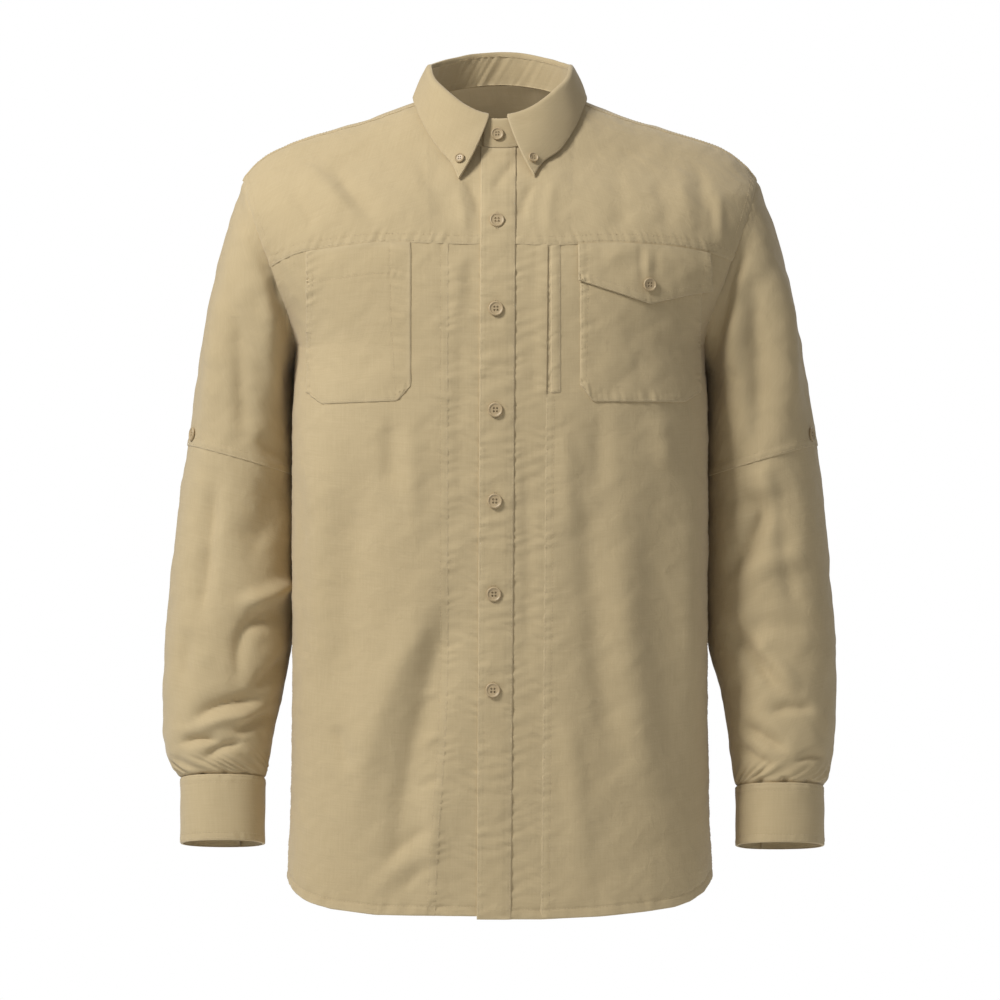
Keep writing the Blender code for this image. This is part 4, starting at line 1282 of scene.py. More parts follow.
SLEEVE_FOLDS: dict[Side, tuple[Fold, ...]] = {
    Side.RIGHT: folds(
        (((-238, -118), (-213, -176), (-198, -236), (-194, -310)), -4.4, 8, 9, 0.2),
        (((-251, -185), (-247, -267), (-243, -335)), -4.2, 9, 11),
        (((-222, -170), (-219, -240), (-217, -300)), 4.2, 9, 9),
        (((-268, -160), (-274, -240), (-282, -325)), 2.4, 10, 10),
        (((-232, -320), (-205, -345)), -2.6, 6, 8),
        (((-270, -345), (-278, -420), (-287, -510)), -6, 12, 9, 0.15),
        (((-214, -350), (-222, -400), (-246, -440)), -3.6, 16, 12),
        (((-190, -456), (-222, -472), (-254, -484)), 5.6, 8, 9),
        (((-196, -484), (-228, -494), (-246, -512), (-249, -556)), -5.4, 8, 9, 0.3),
        (((-198, -524), (-216, -546), (-238, -564)), -4.4, 7, 7, 0.2),
        (((-298, -500), (-302, -560)), -2.5, 7, 8),
        (((-298, -594), (-276, -580), (-250, -573), (-214, -570)), -6.4, 6, 8, 0.35),
        (((-290, -599), (-262, -589), (-226, -586)), 3.4, 6, 6),
        (((-212, -584), (-234, -594), (-254, -603)), -4.6, 6, 5, 0.3),
        (((-308, -614), (-289, -608), (-264, -609)), -5.6, 6, 6, 0.35),
        (((-284, -628), (-262, -615), (-240, -612)), -4.6, 5, 5, 0.3),
        (((-286, -640), (-283, -652)), -2.5, 4, 4, 0.2),
        (((-262, -634), (-262, -652)), -2.5, 4, 4, 0.2),
        (((-240, -636), (-242, -652)), -2, 4, 4, 0.2),
    ) + folds(
        (((-285, -390), (-255, -410), (-225, -420)), -4, 12, 15),
        (((-300, -560), (-268, -580), (-235, -590)), -4.5, 9, 12, 0.2),
        (((-250, -140), (-246, -240), (-252, -340)), -4, 10, 12),
        (((-215, -170), (-208, -260)), -4, 9, 9),
        (((-296, -430), (-250, -470), (-214, -500)), 4, 10, 10),
        (((-310, -500), (-270, -530), (-222, -545)), -4, 9, 10, 0.2),
        (((-300, -618), (-268, -612), (-232, -618)), -4, 6, 7, 0.2),
        face=Face.BACK,
    ),
    Side.LEFT: folds(
        (((240, -122), (214, -190), (202, -262), (198, -320)), -6, 10, 8, 0.2),
        (((264, -150), (274, -220), (278, -305)), 5.4, 13, 9),
        (((240, -150), (245, -250), (246, -335)), -6.5, 13, 15),
        (((288, -190), (295, -260), (303, -325)), -1.6, 8, 8),
        (((222, -200), (220, -270)), 2.6, 8, 8),
        (((209, -382), (240, -384), (248, -402), (214, -457)), -6.5, 8, 10, 0.25),
        (((268, -350), (272, -430), (285, -500)), -3.2, 10, 12),
        (((250, -345), (256, -380)), 2.4, 9, 9),
        (((225, -455), (262, -440), (298, -436)), 3, 11, 11),
        (((206, -495), (240, -528), (270, -568)), -6, 7, 11, 0.2),
        (((228, -505), (264, -500), (300, -505)), -2.2, 9, 11),
        (((234, -508), (262, -540), (288, -566)), 3.4, 8, 9),
        (((252, -584), (276, -579), (302, -580)), -3.8, 5, 7, 0.3),
        (((226, -592), (246, -604), (274, -621)), -4.2, 5, 7, 0.3),
        (((222, -612), (240, -624), (262, -636)), -3, 5, 6, 0.3),
        (((278, -630), (294, -626), (312, -626)), -3.2, 4, 6, 0.3),
        (((246, -642), (248, -660)), -2.4, 4, 4, 0.2),
        (((270, -642), (271, -660)), -2.6, 4, 4, 0.2),
        (((294, -644), (292, -660)), -2.2, 4, 4, 0.2),
    ) + folds(
        (((285, -400), (258, -418), (230, -430)), -4, 15, 12),
        (((300, -570), (270, -588), (240, -600)), -4.5, 12, 9, 0.2),
        (((252, -150), (250, -250), (255, -340)), -4, 12, 10),
        (((214, -180), (208, -270)), -4, 9, 9),
        (((298, -450), (250, -480), (214, -510)), 4, 10, 10),
        (((310, -510), (272, -540), (224, -560)), -4, 9, 10, 0.2),
        (((302, -626), (270, -620), (234, -626)), -4, 6, 7, 0.2),
        face=Face.BACK,
    ),
}


def leaning(ends: tuple[float, ...], z: Array) -> Array:
    """A line down the front from its top place to its hem place.

    Args:
        ends: The top place, the place level with the hem, and how far the foot swings out.
        z: Heights.

    Returns:
        Places across.
    """
    part = (np.asarray(z, float) + 50) / -724
    swing = ends[2] * ease((part - 0.62) / 0.5) if len(ends) > 2 else 0
    return ends[0] + (ends[1] - ends[0]) * part + swing


# the placket's two edges, each from its top place to its hem place
PLACKET_EDGES: tuple[tuple[float, float], ...] = ((-17.9, -21.6), (15.1, 10.3))


@dataclass
class Fronts:
    """The four front panels with the pockets, the flap and the welt."""

    seam_right: tuple[float, ...] = (-48.8, -48.8, -17)
    seam_left: tuple[float, float] = (46.3, 38.5)
    placket_right: tuple[float, float] = PLACKET_EDGES[0]
    placket_left: tuple[float, float] = PLACKET_EDGES[1]
    fine_step: float = 1.9
    wide_step: float = 4.2
    lip: float = 1.5
    yoke_seam: Table = (
        (-218, -159), (-203, -151.5), (-189, -146.5), (-150, -141), (-112, -137.5),
        (-21, -140), (13, -140), (45, -141), (103, -138), (150, -139.6),
        (185, -143.6), (203, -147.6), (220, -152.6),
    )
    hem: Table = (
        (-203, -743), (-194, -754), (-182, -760.5), (-160, -766), (-117, -770.5),
        (-20, -771), (-15, -774), (38, -774), (96, -771.5), (136, -768),
        (165, -764.5), (180, -760), (194, -752), (203, -740),
    )
    pocket_right_foot: Table = ((-183, -279), (-168, -290.5), (-96, -288), (-83.5, -274))
    pocket_left_foot: Table = ((75, -273), (87, -288.8), (174, -288.8), (190, -279))
    flap_foot: Table = ((73, -175.5), (140.3, -196.6), (201, -181.4))

    def seam_z(self, x: Array) -> Array:
        """Height of the seam under the yoke."""
        return curve(self.yoke_seam, x)

    def hem_z(self, x: Array) -> Array:
        """Height of the hem."""
        return straight(self.hem, x)

    def side_panel(self, side: Side) -> Sheet:
        """The panel between the front seam and the side seam.

        Args:
            side: The wearer's side.

        Returns:
            The sheet.
        """
        ends = self.seam_right if side is Side.RIGHT else self.seam_left
        down = graded(636, self.fine_step, 0.7, (-9,)) - 5
        nominal = 232
        over = graded(nominal, self.wide_step, 0.6, (1.8, 8, -1.8))
        grid = []
        for part in down / 631:
            end = side.value * 203
            for _ in range(4):
                z_edge = float(self.seam_z(end) * (1 - part) + self.hem_z(end) * part)
                end = side.value * FORM.side_edge(z_edge)
            start = float(leaning(ends, z_edge)) - side.value * 1
            line, length = FORM.row(start, end, z_edge, Face.FRONT)
            x = read_line(line, length, fitted(over, nominal, length[-1]))[:, 0]
            z = self.seam_z(x) * (1 - part) + self.hem_z(x) * part
            z[-1] = z_edge
            grid.append(FORM.points(x, z, Face.FRONT))
        sheet = Sheet("front_%s_side" % side.word, np.array(grid))
        seed = 2 + side.value
        sheet.drape().lap(FIRST, 0.3, 20).lap(LAST, 0.7, 9)
        sheet.pucker(FIRST, 0, 0.5, 12, 10.5, seed).roll(FIRST, 0.9)
        sheet.pucker(FIRST, 3, 0.25, 6, 6.5, seed)
        sheet.groove(FIRST, 1.8, 0.25).groove(FIRST, 8, 0.12).groove(LAST, 1.8)
        sheet.pucker(LAST, 3, 0.3, 6, 9, seed + 1).roll(LAST, 0.7)
        sheet.lap(BOTTOM, 0.5, 9.5).pucker(BOTTOM, 7, 0.8, 8, 13, seed + 2)
        sheet.groove(BOTTOM, 9, 0.45).roll(BOTTOM, 0.8)
        sheet.pucker(TOP, 8, 0.5, 8, 9, seed + 3)
        return sheet

    def centre_strip(self, side: Side) -> Sheet:
        """The narrow panel between the placket and the front seam.

        Args:
            side: The wearer's side.

        Returns:
            The sheet.
        """
        outer = self.seam_right if side is Side.RIGHT else self.seam_left
        inner = self.placket_right if side is Side.RIGHT else self.placket_left
        down = graded(638, self.fine_step, 0.7, (-9,)) - 5
        over = graded(36, 2.6, 0.6, (-3.2, -4.6)) / 36
        grid = []
        for part in down / 633:
            z_mid = -140 * (1 - part) - 772 * part
            x0 = float(leaning(inner, z_mid)) - side.value * 1.5
            x1 = float(leaning(outer, z_mid)) + side.value * 4
            x = x0 + (x1 - x0) * over
            z = self.seam_z(x) * (1 - part) + self.hem_z(x) * part
            grid.append(FORM.points(x, z, Face.FRONT))
        sheet = Sheet("front_%s_centre" % side.word, np.array(grid))
        seed = 5 + side.value
        sheet.drape()
        sheet.pucker(LAST, 4, 0.5, 12, 10.5, 2 + side.value)
        beside = sheet.distance(LAST)
        soft = ripple(sheet.down + 0.4 * sheet.across, 15, seed)
        sheet.lift += 0.35 * soft * ease(beside / 14)
        if side is Side.LEFT:
            z = sheet.points[..., 2]
            rows = ease((-139 - z) / 5) * ease((z + 284) / 4)
            sheet.lift += self.lip * rows * ease((18 - beside) / 12) * (beside > 4)
        sheet.pucker(FIRST, 3, 0.5, 7, 9, seed + 1)
        sheet.lap(BOTTOM, 0.5, 9.5).groove(BOTTOM, 9, 0.45).roll(BOTTOM, 0.8)
        sheet.pucker(BOTTOM, 7, 0.5, 6, 12, seed + 2)
        return sheet

    def patch(self, name: str, x_from: float, x_to: float, foot: Callable[[Array], Array],
              level: float, tuck: float, thick: float, lines: Sequence[float] = (),
              rows: Sequence[float] = ()) -> Sheet:
        """A patch laid on the panel, from the yoke seam to its foot line.

        Args:
            name: Name of the piece.
            x_from: Its first edge.
            x_to: Its last edge.
            foot: Height of its lower edge at a place across.
            level: How far its outer face stands from the body's surface.
            tuck: How far its top goes up under the yoke.
            thick: Thickness of its turned cloth.
            lines: Rows of stitches, as distances from the first edge.
            rows: Rows of stitches, as distances from the top.

        Returns:
            The sheet.
        """
        x = x_from + graded(abs(x_to - x_from), 2.2, 0.5, lines) * math.copysign(1, x_to - x_from)
        top = self.seam_z(x) + tuck
        low = foot(x)
        long = float((top - low).max())
        part = graded(long, 2.2, 0.5, rows)[:, None] / long
        z = top * (1 - part) + low * part
        sheet = Sheet(name, FORM.points(x[None, :], z, Face.FRONT), thick=thick)
        return sheet.drape().raise_by(level).lap(TOP, 0.8 - level * 0.8, 14)

    def right_pocket(self) -> Sheet:
        """The plain patch pocket on the wearer's right.

        Returns:
            The sheet.
        """
        sheet = self.patch("pocket_right", -183, -83.5,
                           lambda x: straight(self.pocket_right_foot, x), 1.35, -1.4, 1.25,
                           (2, 8, -2, -20), (2, -2, -8, 30))
        sheet.pucker(FIRST, 5, 1.1, 8, 6.6, 11).groove(FIRST, 2)
        sheet.groove(FIRST, 8).groove(LAST, 20, 0.25)
        sheet.pucker(LAST, 13, 0.75, 8, 7, 12)
        sheet.pucker(BOTTOM, 5, 0.5, 6, 10, 13).groove(BOTTOM, 2)
        sheet.pucker(TOP, 30, 0.3, 6, 10, 14).groove(TOP, 30, 0.2)
        sheet.lift += 0.9 * np.exp(-(((sheet.down - 75) / 45) ** 2)
                                   - (((sheet.across - 45) / 28) ** 2))
        for edge in (FIRST, LAST, BOTTOM):
            sheet.roll(edge, 1)
        return sheet

    def left_pocket(self) -> Sheet:
        """The pocket under the flap on the wearer's left.

        Returns:
            The sheet.
        """
        sheet = self.patch("pocket_left", 75, 190,
                           lambda x: straight(self.pocket_left_foot, x), 1.35, -1.4, 1.25,
                           (2, 8, -2, -8), (-2, -8))
        sheet.lap(FIRST, -0.45, 5).pucker(FIRST, 5, 0.9, 7, 6.6, 21)
        sheet.groove(FIRST, 2).groove(FIRST, 8).groove(LAST, 2)
        sheet.pucker(LAST, 5, 0.9, 7, 7, 22).lap(LAST, 0.6, 8)
        sheet.pucker(BOTTOM, 5, 0.8, 6, 7.5, 23)
        sheet.lap(BOTTOM, 0.4, 8).groove(BOTTOM, 2)
        sheet.fold((
            Fold(((116, -240), (132, -222), (152, -210), (172, -206)), -1.1, 5, 12, 0.3),
            Fold(((131, -232), (132, -286)), -0.8, 6, 9, 0.2),
            Fold(((150, -226), (172, -222)), 0.6, 8, 8),
            Fold(((108, -200), (104, -262)), 0.7, 10, 10),
        ), 1)
        for edge in (FIRST, LAST, BOTTOM):
            sheet.roll(edge, 1)
        return sheet

    def flap(self) -> Sheet:
        """The pointed flap, closed by one button.

        Returns:
            The sheet.
        """
        sheet = self.patch("pocket_flap", 73.3, 198,
                           lambda x: straight(self.flap_foot, x), 3, -1.4, 1.3,
                           (2, 8, -2, -8, 67), (-2, -8))
        for edge, seed in ((FIRST, 31), (LAST, 32), (BOTTOM, 33)):
            sheet.pucker(edge, 5, 0.5, 5, 6.5, seed).groove(edge, 2).groove(edge, 8, 0.2)
            sheet.roll(edge, 1.1)
        sheet.fold((
            Fold(((96, -140), (94, -182)), -0.6, 9, 9),
            Fold(((131, -140), (132, -178)), -1.1, 3, 5, 0.3),
            Fold(((138, -140), (138, -180)), 1, 3, 4, 0.2),
            Fold(((147, -140), (146, -176)), -0.9, 4, 4, 0.2),
            Fold(((172, -140), (176, -180)), 0.6, 10, 10),
        ), 1)
        sheet.lap(BOTTOM, 1, 16).lap(LAST, 1.6, 14).lap(FIRST, 0.5, 8)
        return sheet

    def welt(self) -> Sheet:
        """The narrow stitched strip of the upright pocket.

        Returns:
            The sheet.
        """
        sheet = self.patch("pocket_welt", 47.2, 57.2, lambda x: -281 + 0 * x, 1.1, -1.4, 1,
                           (1.6, -1.6), (-1.6,))
        sheet.pucker(FIRST, 4.5, 0.65, 4, 6.2, 41).groove(LAST, 1.6)
        sheet.lap(FIRST, -0.5, 3).lap(LAST, -0.5, 3.5)
        for edge in (FIRST, LAST, BOTTOM):
            sheet.roll(edge, 0.9)
        return sheet

    def build(self, finish: Finishes) -> Sheet:
        """Makes every piece of the fronts with its stitching.

        Args:
            finish: The materials.

        Returns:
            The flap, which carries a button.
        """
        rows = Stitching("stitching_fronts")
        for side in Side:
            strip, panel = self.centre_strip(side), self.side_panel(side)
            strip.place(finish.cloth, Held.HUNG)
            panel.place(finish.cloth, Held.HUNG)
            rows.follow(strip, (BOTTOM, 9))
            rows.follow(panel, (FIRST, 1.8, 6, 1), (FIRST, 8, 6, 1),
                        (LAST, 1.8, 6, 1), (BOTTOM, 9))
        rows.place(finish.thread)
        right, left, flap, welt = self.right_pocket(), self.left_pocket(), self.flap(), self.welt()
        for sheet, under in ((right, "front_right_side"), (left, "front_left_side"),
                             (flap, "pocket_left"), (welt, "front_left_side")):
            sheet.place(finish.cloth, Held.LAID, [under])
        rows = Stitching("stitching_pockets", pitch=2.7, length=2, width=0.5)
        rows.follow(right, (FIRST, 2, 4, 2), (FIRST, 8, 4, 8), (LAST, 20, 4, 4),
                    (BOTTOM, 2, 2, 2), (TOP, 30, 4, 21))
        rows.follow(left, (FIRST, 8, 30, 8))
        for edge in (FIRST, BOTTOM, LAST):
            rows.follow(left, (edge, 2, 2, 2))
            rows.follow(flap, (edge, 2, 2, 2), (edge, 8, 8, 8))
        rows.follow(welt, (LAST, 1.6, 4, 1.6), (BOTTOM, 1.6, 1.6, 1.6),
                    (FIRST, 1.6, 12, 1.6))
        rows.place(finish.thread)
        return flap


@dataclass
class Placket:
    """The button band and the placket over it."""

    edges: tuple[tuple[float, float], ...] = PLACKET_EDGES
    level: float = 2
    buttons: Table = (
        (-2.8, -118.4), (-3.8, -202), (-4.2, -296.7), (-4.7, -382), (-5.6, -469),
        (-6.6, -559),
    )

    def strip(self, name: str, trim: float, top: float, foot: float, thick: float,
              step: float) -> Sheet:
        """A strip down the front, drawn in by a trim at both edges.

        Args:
            name: Name of the piece.
            trim: How far each edge is drawn in.
            top: How far the top lies below the neck edge.
            foot: Height of its lower end.
            thick: Thickness of the cloth.
            step: Distance between its rows of points.

        Returns:
            The sheet.
        """
        down = graded(724, step, 0.7, (-9,)) / 724
        over = graded(33, 2.6, 0.5, (1.7, 6, -1.7, -6)) / 33
        z0 = -50 - top
        grid = []
        for part in down:
            z_mid = z0 * (1 - part) + foot * part
            x0 = float(leaning(self.edges[0], z_mid)) + trim
            x1 = float(leaning(self.edges[1], z_mid)) - trim
            x = x0 + (x1 - x0) * over
            neck = FORM.neck_front_z(x) - top
            z = np.where(z_mid > -75, z_mid + (neck - z0) * (z_mid + 75) / (z0 + 75), z_mid)
            grid.append(FORM.points(x, z, Face.FRONT))
        return Sheet(name, np.array(grid), thick=thick).drape()

    def build(self, finish: Finishes) -> Sheet:
        """Makes the band and the placket, with stitches and buttonholes.

        Args:
            finish: The materials.

        Returns:
            The placket.
        """
        band = self.strip("button_band", 1.2, 0.6, -771, 0.9, 4)
        band.place(finish.cloth, Held.HUNG)
        sheet = self.strip("placket", -0.2, 0.8, -774, 1.3, 1.9)
        sheet.raise_by(self.level)
        sheet.lift += 0.4 * ripple(sheet.down + 0.2 * sheet.across, 17, 55)
        for x, z in self.buttons:
            near = np.hypot(sheet.points[..., 0] - x, (sheet.points[..., 2] - z) / 1.2)
            sheet.lift -= 0.5 * np.exp(-((near / 9) ** 2))
            sheet.lift += 0.3 * np.exp(-(((near - 14) / 6) ** 2))
        sheet.pucker(FIRST, 4, 0.45, 6, 8.5, 51).groove(FIRST, 1.7)
        sheet.groove(FIRST, 6, 0.2).groove(LAST, 1.7).groove(LAST, 6, 0.2)
        sheet.pucker(LAST, 4, 0.45, 6, 9, 52).lap(LAST, -0.6, 9)
        for edge in (FIRST, LAST, BOTTOM):
            sheet.roll(edge, 1)
        sheet.place(finish.cloth, Held.LAID, ["button_band"])
        rows = Stitching("stitching_placket", pitch=2.8, length=2.1)
        rows.follow(sheet, (FIRST, 1.7, 2, 1), (LAST, 1.7, 2, 1), (BOTTOM, 9))
        rows.place(finish.thread)
        self.buttonholes(sheet, finish)
        return sheet

    def buttonholes(self, sheet: Sheet, finish: Finishes) -> None:
        """Dense bars of thread on both sides of each upright buttonhole.

        Args:
            sheet: The placket.
            finish: The materials.
        """
        bars = Stitching("buttonhole_bars", pitch=0.55, length=1.5, width=0.5)
        for x, z in self.buttons:
            for offset in (-0.85, 0.85):
                heights = z + np.linspace(8.3, -8.3, 31)
                line = [spot_on(sheet, x + offset, height) for height in heights]
                points = np.array([p for p, _ in line])
                ways = np.array([w for _, w in line])
                side = unit(np.cross(np.gradient(points, axis=0), ways))
                bars.starts.append(points - side * 0.7)
                bars.ends.append(points + side * 0.7)
                bars.ways.append(ways)
        bars.place(finish.thread)


def spot_on(sheet: Sheet, x: float, z: float) -> tuple[Array, Array]:
    """The point of a sheet's outer face at a place of the front view, and its direction.

    Args:
        sheet: The cloth.
        x: Place across.
        z: Height.

    Returns:
        A point and an outward direction.
    """
    outer = sheet.outer()
    off = (sheet.points[..., 0] - x) ** 2 + (sheet.points[..., 2] - z) ** 2
    i, j = np.unravel_index(np.argmin(off), off.shape)
    i = int(np.clip(i, 1, outer.shape[0] - 2))
    j = int(np.clip(j, 1, outer.shape[1] - 2))
    point = outer[i, j]
    normal = unit(np.cross(outer[i, j + 1] - outer[i, j - 1], outer[i + 1, j] - outer[i - 1, j]))
    if (normal * sheet.normals[i, j]).sum() < 0:
        normal = -normal
    gap = np.array([x - point[0], 0, z - point[2]])
    gap[1] = -(gap[0] * normal[0] + gap[2] * normal[2]) / (normal[1] if abs(normal[1]) > 0.2 else 1)
    return point + gap * (abs(normal[1]) > 0.2), normal


@dataclass
class Yokes:
    """Two front yokes, and the back yoke over both shoulders."""

    back_z: float = -120
    neck_seam: float = 71.6
    step: float = 2.3

    def grid(self, top_x: Array, top_depth: Array, bottom_x: Array, bottom_depth: Array,
             parts: Array) -> Array:
        """Points from a top path to a bottom path, ending at the armhole.

        Args:
            top_x: Places across of the top path.
            top_depth: Its depths.
            bottom_x: Places across of the bottom path.
            bottom_depth: Its depths.
            parts: Shares of the way down.

        Returns:
            The grid.
        """
        out_top = FORM.armhole_at_depth(top_depth[-1])
        out_bottom = FORM.armhole_at_depth(bottom_depth[-1])
        rows = []
        for part in parts:
            depth = top_depth * (1 - part) + bottom_depth * part
            share = (FORM.armhole_at_depth(depth[-1]) - out_top) / (out_bottom - out_top)
            x = top_x * (1 - share) + bottom_x * share
            rows.append(FORM.over_shoulder(x + 1.6 * ease((x - x[-1] + 12) / 12), depth))
        return np.array(rows)

    def front(self, side: Side, fronts: Fronts) -> Sheet:
        """One front yoke.

        Args:
            side: The wearer's side.
            fronts: The panels below it.

        Returns:
            The sheet.
        """
        ends = fronts.placket_right if side is Side.RIGHT else fronts.placket_left
        first = side.value * float(leaning(ends, -90)) - 1.2
        neck_x = first + (self.neck_seam - first) * (1 - (1 - np.linspace(0, 1, 24)) ** 1.6)
        seam_x = self.neck_seam + graded(244 - self.neck_seam, self.step, 0.6, (-2, -8))
        neck_depth = np.sqrt(FORM.ridge(neck_x) - FORM.neck_front_z(neck_x))
        top_x = np.concatenate([neck_x[:-1], seam_x])
        top_depth = np.concatenate([neck_depth[:-1], FORM.shoulder_seam_depth(seam_x)])
        edge_z = float(fronts.seam_z(side.value * 220))
        share = (top_x - top_x[0]) / (top_x[-1] - top_x[0])
        bottom_x = top_x[0] + (FORM.armhole_x(np.array(edge_z)) - top_x[0]) * share
        bottom_z = fronts.seam_z(side.value * bottom_x) - 1.2
        bottom_depth = np.sqrt(FORM.ridge(bottom_x) - bottom_z)
        top_x[-1] = FORM.armhole_at_depth(top_depth[-1])
        bottom_x[-1] = FORM.armhole_at_depth(bottom_depth[-1])
        parts = graded(150, 2.6, 0.6, (-2.2, -8.5)) / 150
        points = self.grid(top_x, top_depth, bottom_x, bottom_depth, parts)
        points[..., 0] *= side.value
        sheet = Sheet("front_yoke_" + side.word, points, centre=(0, 20)).drape()
        seed = 61 + side.value
        sheet.lap(BOTTOM, 1, 17).pucker(BOTTOM, 6, 0.75, 7, 7.2, seed)
        sheet.groove(BOTTOM, 2.2).groove(BOTTOM, 8.5, 0.2).roll(BOTTOM, 0.8)
        sheet.lap(LAST, 0.35, 12).pucker(LAST, 5, 0.4, 6, 10, seed + 3)
        sheet.groove(LAST, 8, 0.25).roll(LAST, 0.8)
        sheet.pucker(TOP, 4, 0.25, 5, 10, seed + 5)
        return sheet

    def back(self) -> Sheet:
        """The back yoke.

        Returns:
            The sheet.
        """
        back_x = self.neck_seam * np.linspace(0, 1, 24)
        seam_x = self.neck_seam + graded(244 - self.neck_seam, 3.9, 0.8, (-8,))
        back_depth = -np.sqrt(FORM.ridge(back_x) - FORM.neck_back_z(back_x))
        top_x = np.concatenate([back_x[:-1], seam_x])
        top_depth = np.concatenate([back_depth[:-1], FORM.shoulder_seam_depth(seam_x) - 0.02])
        bottom_x = top_x * FORM.armhole_x(np.array(self.back_z)) / top_x[-1]
        bottom_depth = -np.sqrt(FORM.ridge(bottom_x) - self.back_z + 1.2)
        top_x[-1] = FORM.armhole_at_depth(top_depth[-1])
        bottom_x[-1] = FORM.armhole_at_depth(bottom_depth[-1])
        parts = graded(210, 3.8, 0.6, (2, 8, -2.2, -8.5)) / 210
        half = self.grid(top_x, top_depth, bottom_x, bottom_depth, parts)
        mirrored = half[:, :0:-1] * np.array([-1, 1, 1])
        points = np.concatenate([mirrored, half], axis=1)
        sheet = Sheet("back_yoke", points, centre=(0, 0)).drape()
        sheet.lap(BOTTOM, 1, 17).pucker(BOTTOM, 6, 0.35, 6, 9, 71)
        sheet.groove(BOTTOM, 2.2).groove(BOTTOM, 8.5, 0.2).roll(BOTTOM, 0.8)
        sheet.lap(TOP, 0.9, 14).pucker(TOP, 4, 0.25, 6, 9, 72)
        sheet.groove(TOP, 2, 0.25).roll(TOP, 0.7)
        for edge, seed in ((FIRST, 73), (LAST, 74)):
            sheet.lap(edge, 0.35, 12).pucker(edge, 5, 0.3, 6, 10, seed).roll(edge, 0.8)
        return sheet

    def build(self, finish: Finishes, fronts: Fronts) -> None:
        """Makes the three yokes with their stitching.

        Args:
            finish: The materials.
            fronts: The panels below them.
        """
        rows = Stitching("stitching_yokes")
        for side in Side:
            sheet = self.front(side, fronts)
            sheet.place(finish.cloth, Held.HUNG)
            rows.follow(sheet, (BOTTOM, 2.2, 2, 2), (BOTTOM, 8.5, 2, 8),
                        (LAST, 8, 3, 2))
        sheet = self.back()
        sheet.place(finish.cloth, Held.HUNG)
        rows.follow(sheet, (BOTTOM, 2.2, 2, 2), (BOTTOM, 8.5, 8, 8))
        for inset in (2, 8):
            points, ways = sheet.path(TOP, inset, 2, 2)
            for keep in (points[:, 0] < -76, points[:, 0] > 76):
                rows.sew((points[keep], ways[keep]))
        rows.follow(sheet, (FIRST, 8, 3, 3), (LAST, 8, 3, 3))
        rows.place(finish.thread)


@dataclass
class Back:
    """The back, from the yoke seam to the curved hem."""

    top_z: float = -120
    side_hem_z: float = -741
    step: float = 5
    hem: Table = ((0, -784), (100, -779), (150, -770), (180, -758), (203, -741))

    def build(self, finish: Finishes) -> None:
        """Makes the back with its hem stitching.

        Args:
            finish: The materials.
        """
        down = self.top_z + 5 - graded(626, self.step, 0.7, (-9,))
        over = graded(620, self.step, 0.7)
        grid = []
        for z in down:
            edge = FORM.side_edge(float(z))
            line, length = FORM.row(-edge, edge, float(z), Face.BACK)
            grid.append(read_line(line, length, fitted(over, 620, length[-1])))
        points = np.array(grid)
        share = ease((points[..., 2] + 520) / -221)
        points[..., 2] += share * (straight(self.hem, np.abs(points[..., 0])) - self.side_hem_z)
        sheet = Sheet("back", points)
        sheet.fold(BODY_FOLDS).rumple(0.7, 30, 1).rumple(0.25, 11, 4)
        sheet.pucker(TOP, 9, 0.4, 8, 11, 81)
        sheet.lap(BOTTOM, 0.5, 9.5).groove(BOTTOM, 9, 0.45)
        sheet.pucker(BOTTOM, 7, 0.5, 7, 13, 82).roll(BOTTOM, 0.8)
        for edge, seed in ((FIRST, 83), (LAST, 84)):
            sheet.pucker(edge, 6, 0.35, 7, 9, seed)
        sheet.place(finish.cloth, Held.HUNG)
        rows = Stitching("stitching_back")
        rows.follow(sheet, (BOTTOM, 9, 1, 1))
        rows.place(finish.thread)


RIGHT_RINGS: SleeveRings = (
    (245, -72, 196, -235, 5, 72, 0),
    (257, -104, 199.5, -243, 8, 75, 0),
    (267.5, -140, 201.5, -252, 12, 77, 0),
    (277, -180, 202, -265, 16, 78, 0),
    (286.5, -227, 201.5, -288, 20, 77, 0),
    (294, -280, 200.5, -322, 23, 74, 1),
    (301, -328, 199.5, -357, 24, 71, 2),
    (308, -378, 199.5, -400, 22, 68, 3),
    (314, -425, 200.5, -440, 19, 66, 4),
    (319, -475, 201.5, -484, 15, 64, 5),
    (322.5, -520, 203.5, -525, 10, 61, 6),
    (323.8, -565, 209.5, -567, 5, 58, 7),
    (323.5, -600, 216, -601, 0, 55, 8),
    (320.5, -622, 219.5, -622, -4, 52, 8.5),
    (313, -638, 222.5, -638, -7, 47, 9),
    (305.5, -649, 225.5, -649, -9, 41.5, 9),
)
LEFT_RINGS: SleeveRings = (
    (245, -72, 196, -235, 5, 72, 0),
    (258.5, -104, 199.5, -243, 8, 75, 0),
    (269.5, -140, 201.5, -252, 12, 77, 0),
    (280, -180, 202, -265, 16, 78, 0),
    (289, -227, 201.5, -288, 20, 77, 0),
    (298, -280, 200.5, -322, 23, 74, 1),
    (305.5, -328, 199.5, -359, 24, 71, 2),
    (311.5, -378, 199.5, -402, 22, 68, 3),
    (315.5, -425, 200.5, -442, 19, 66, 4),
    (319.5, -475, 201.5, -486, 15, 64, 5),
    (322.8, -520, 204.5, -527, 10, 61, 6),
    (323.3, -565, 213, -568, 5, 58, 7),
    (321.6, -602, 218, -603, 0, 55, 8),
    (318.5, -628, 222, -628, -4, 52, 8.5),
    (315.5, -646, 224.5, -646, -7, 47, 9),
    (309.5, -657, 226.5, -657, -9, 42.5, 9),
)
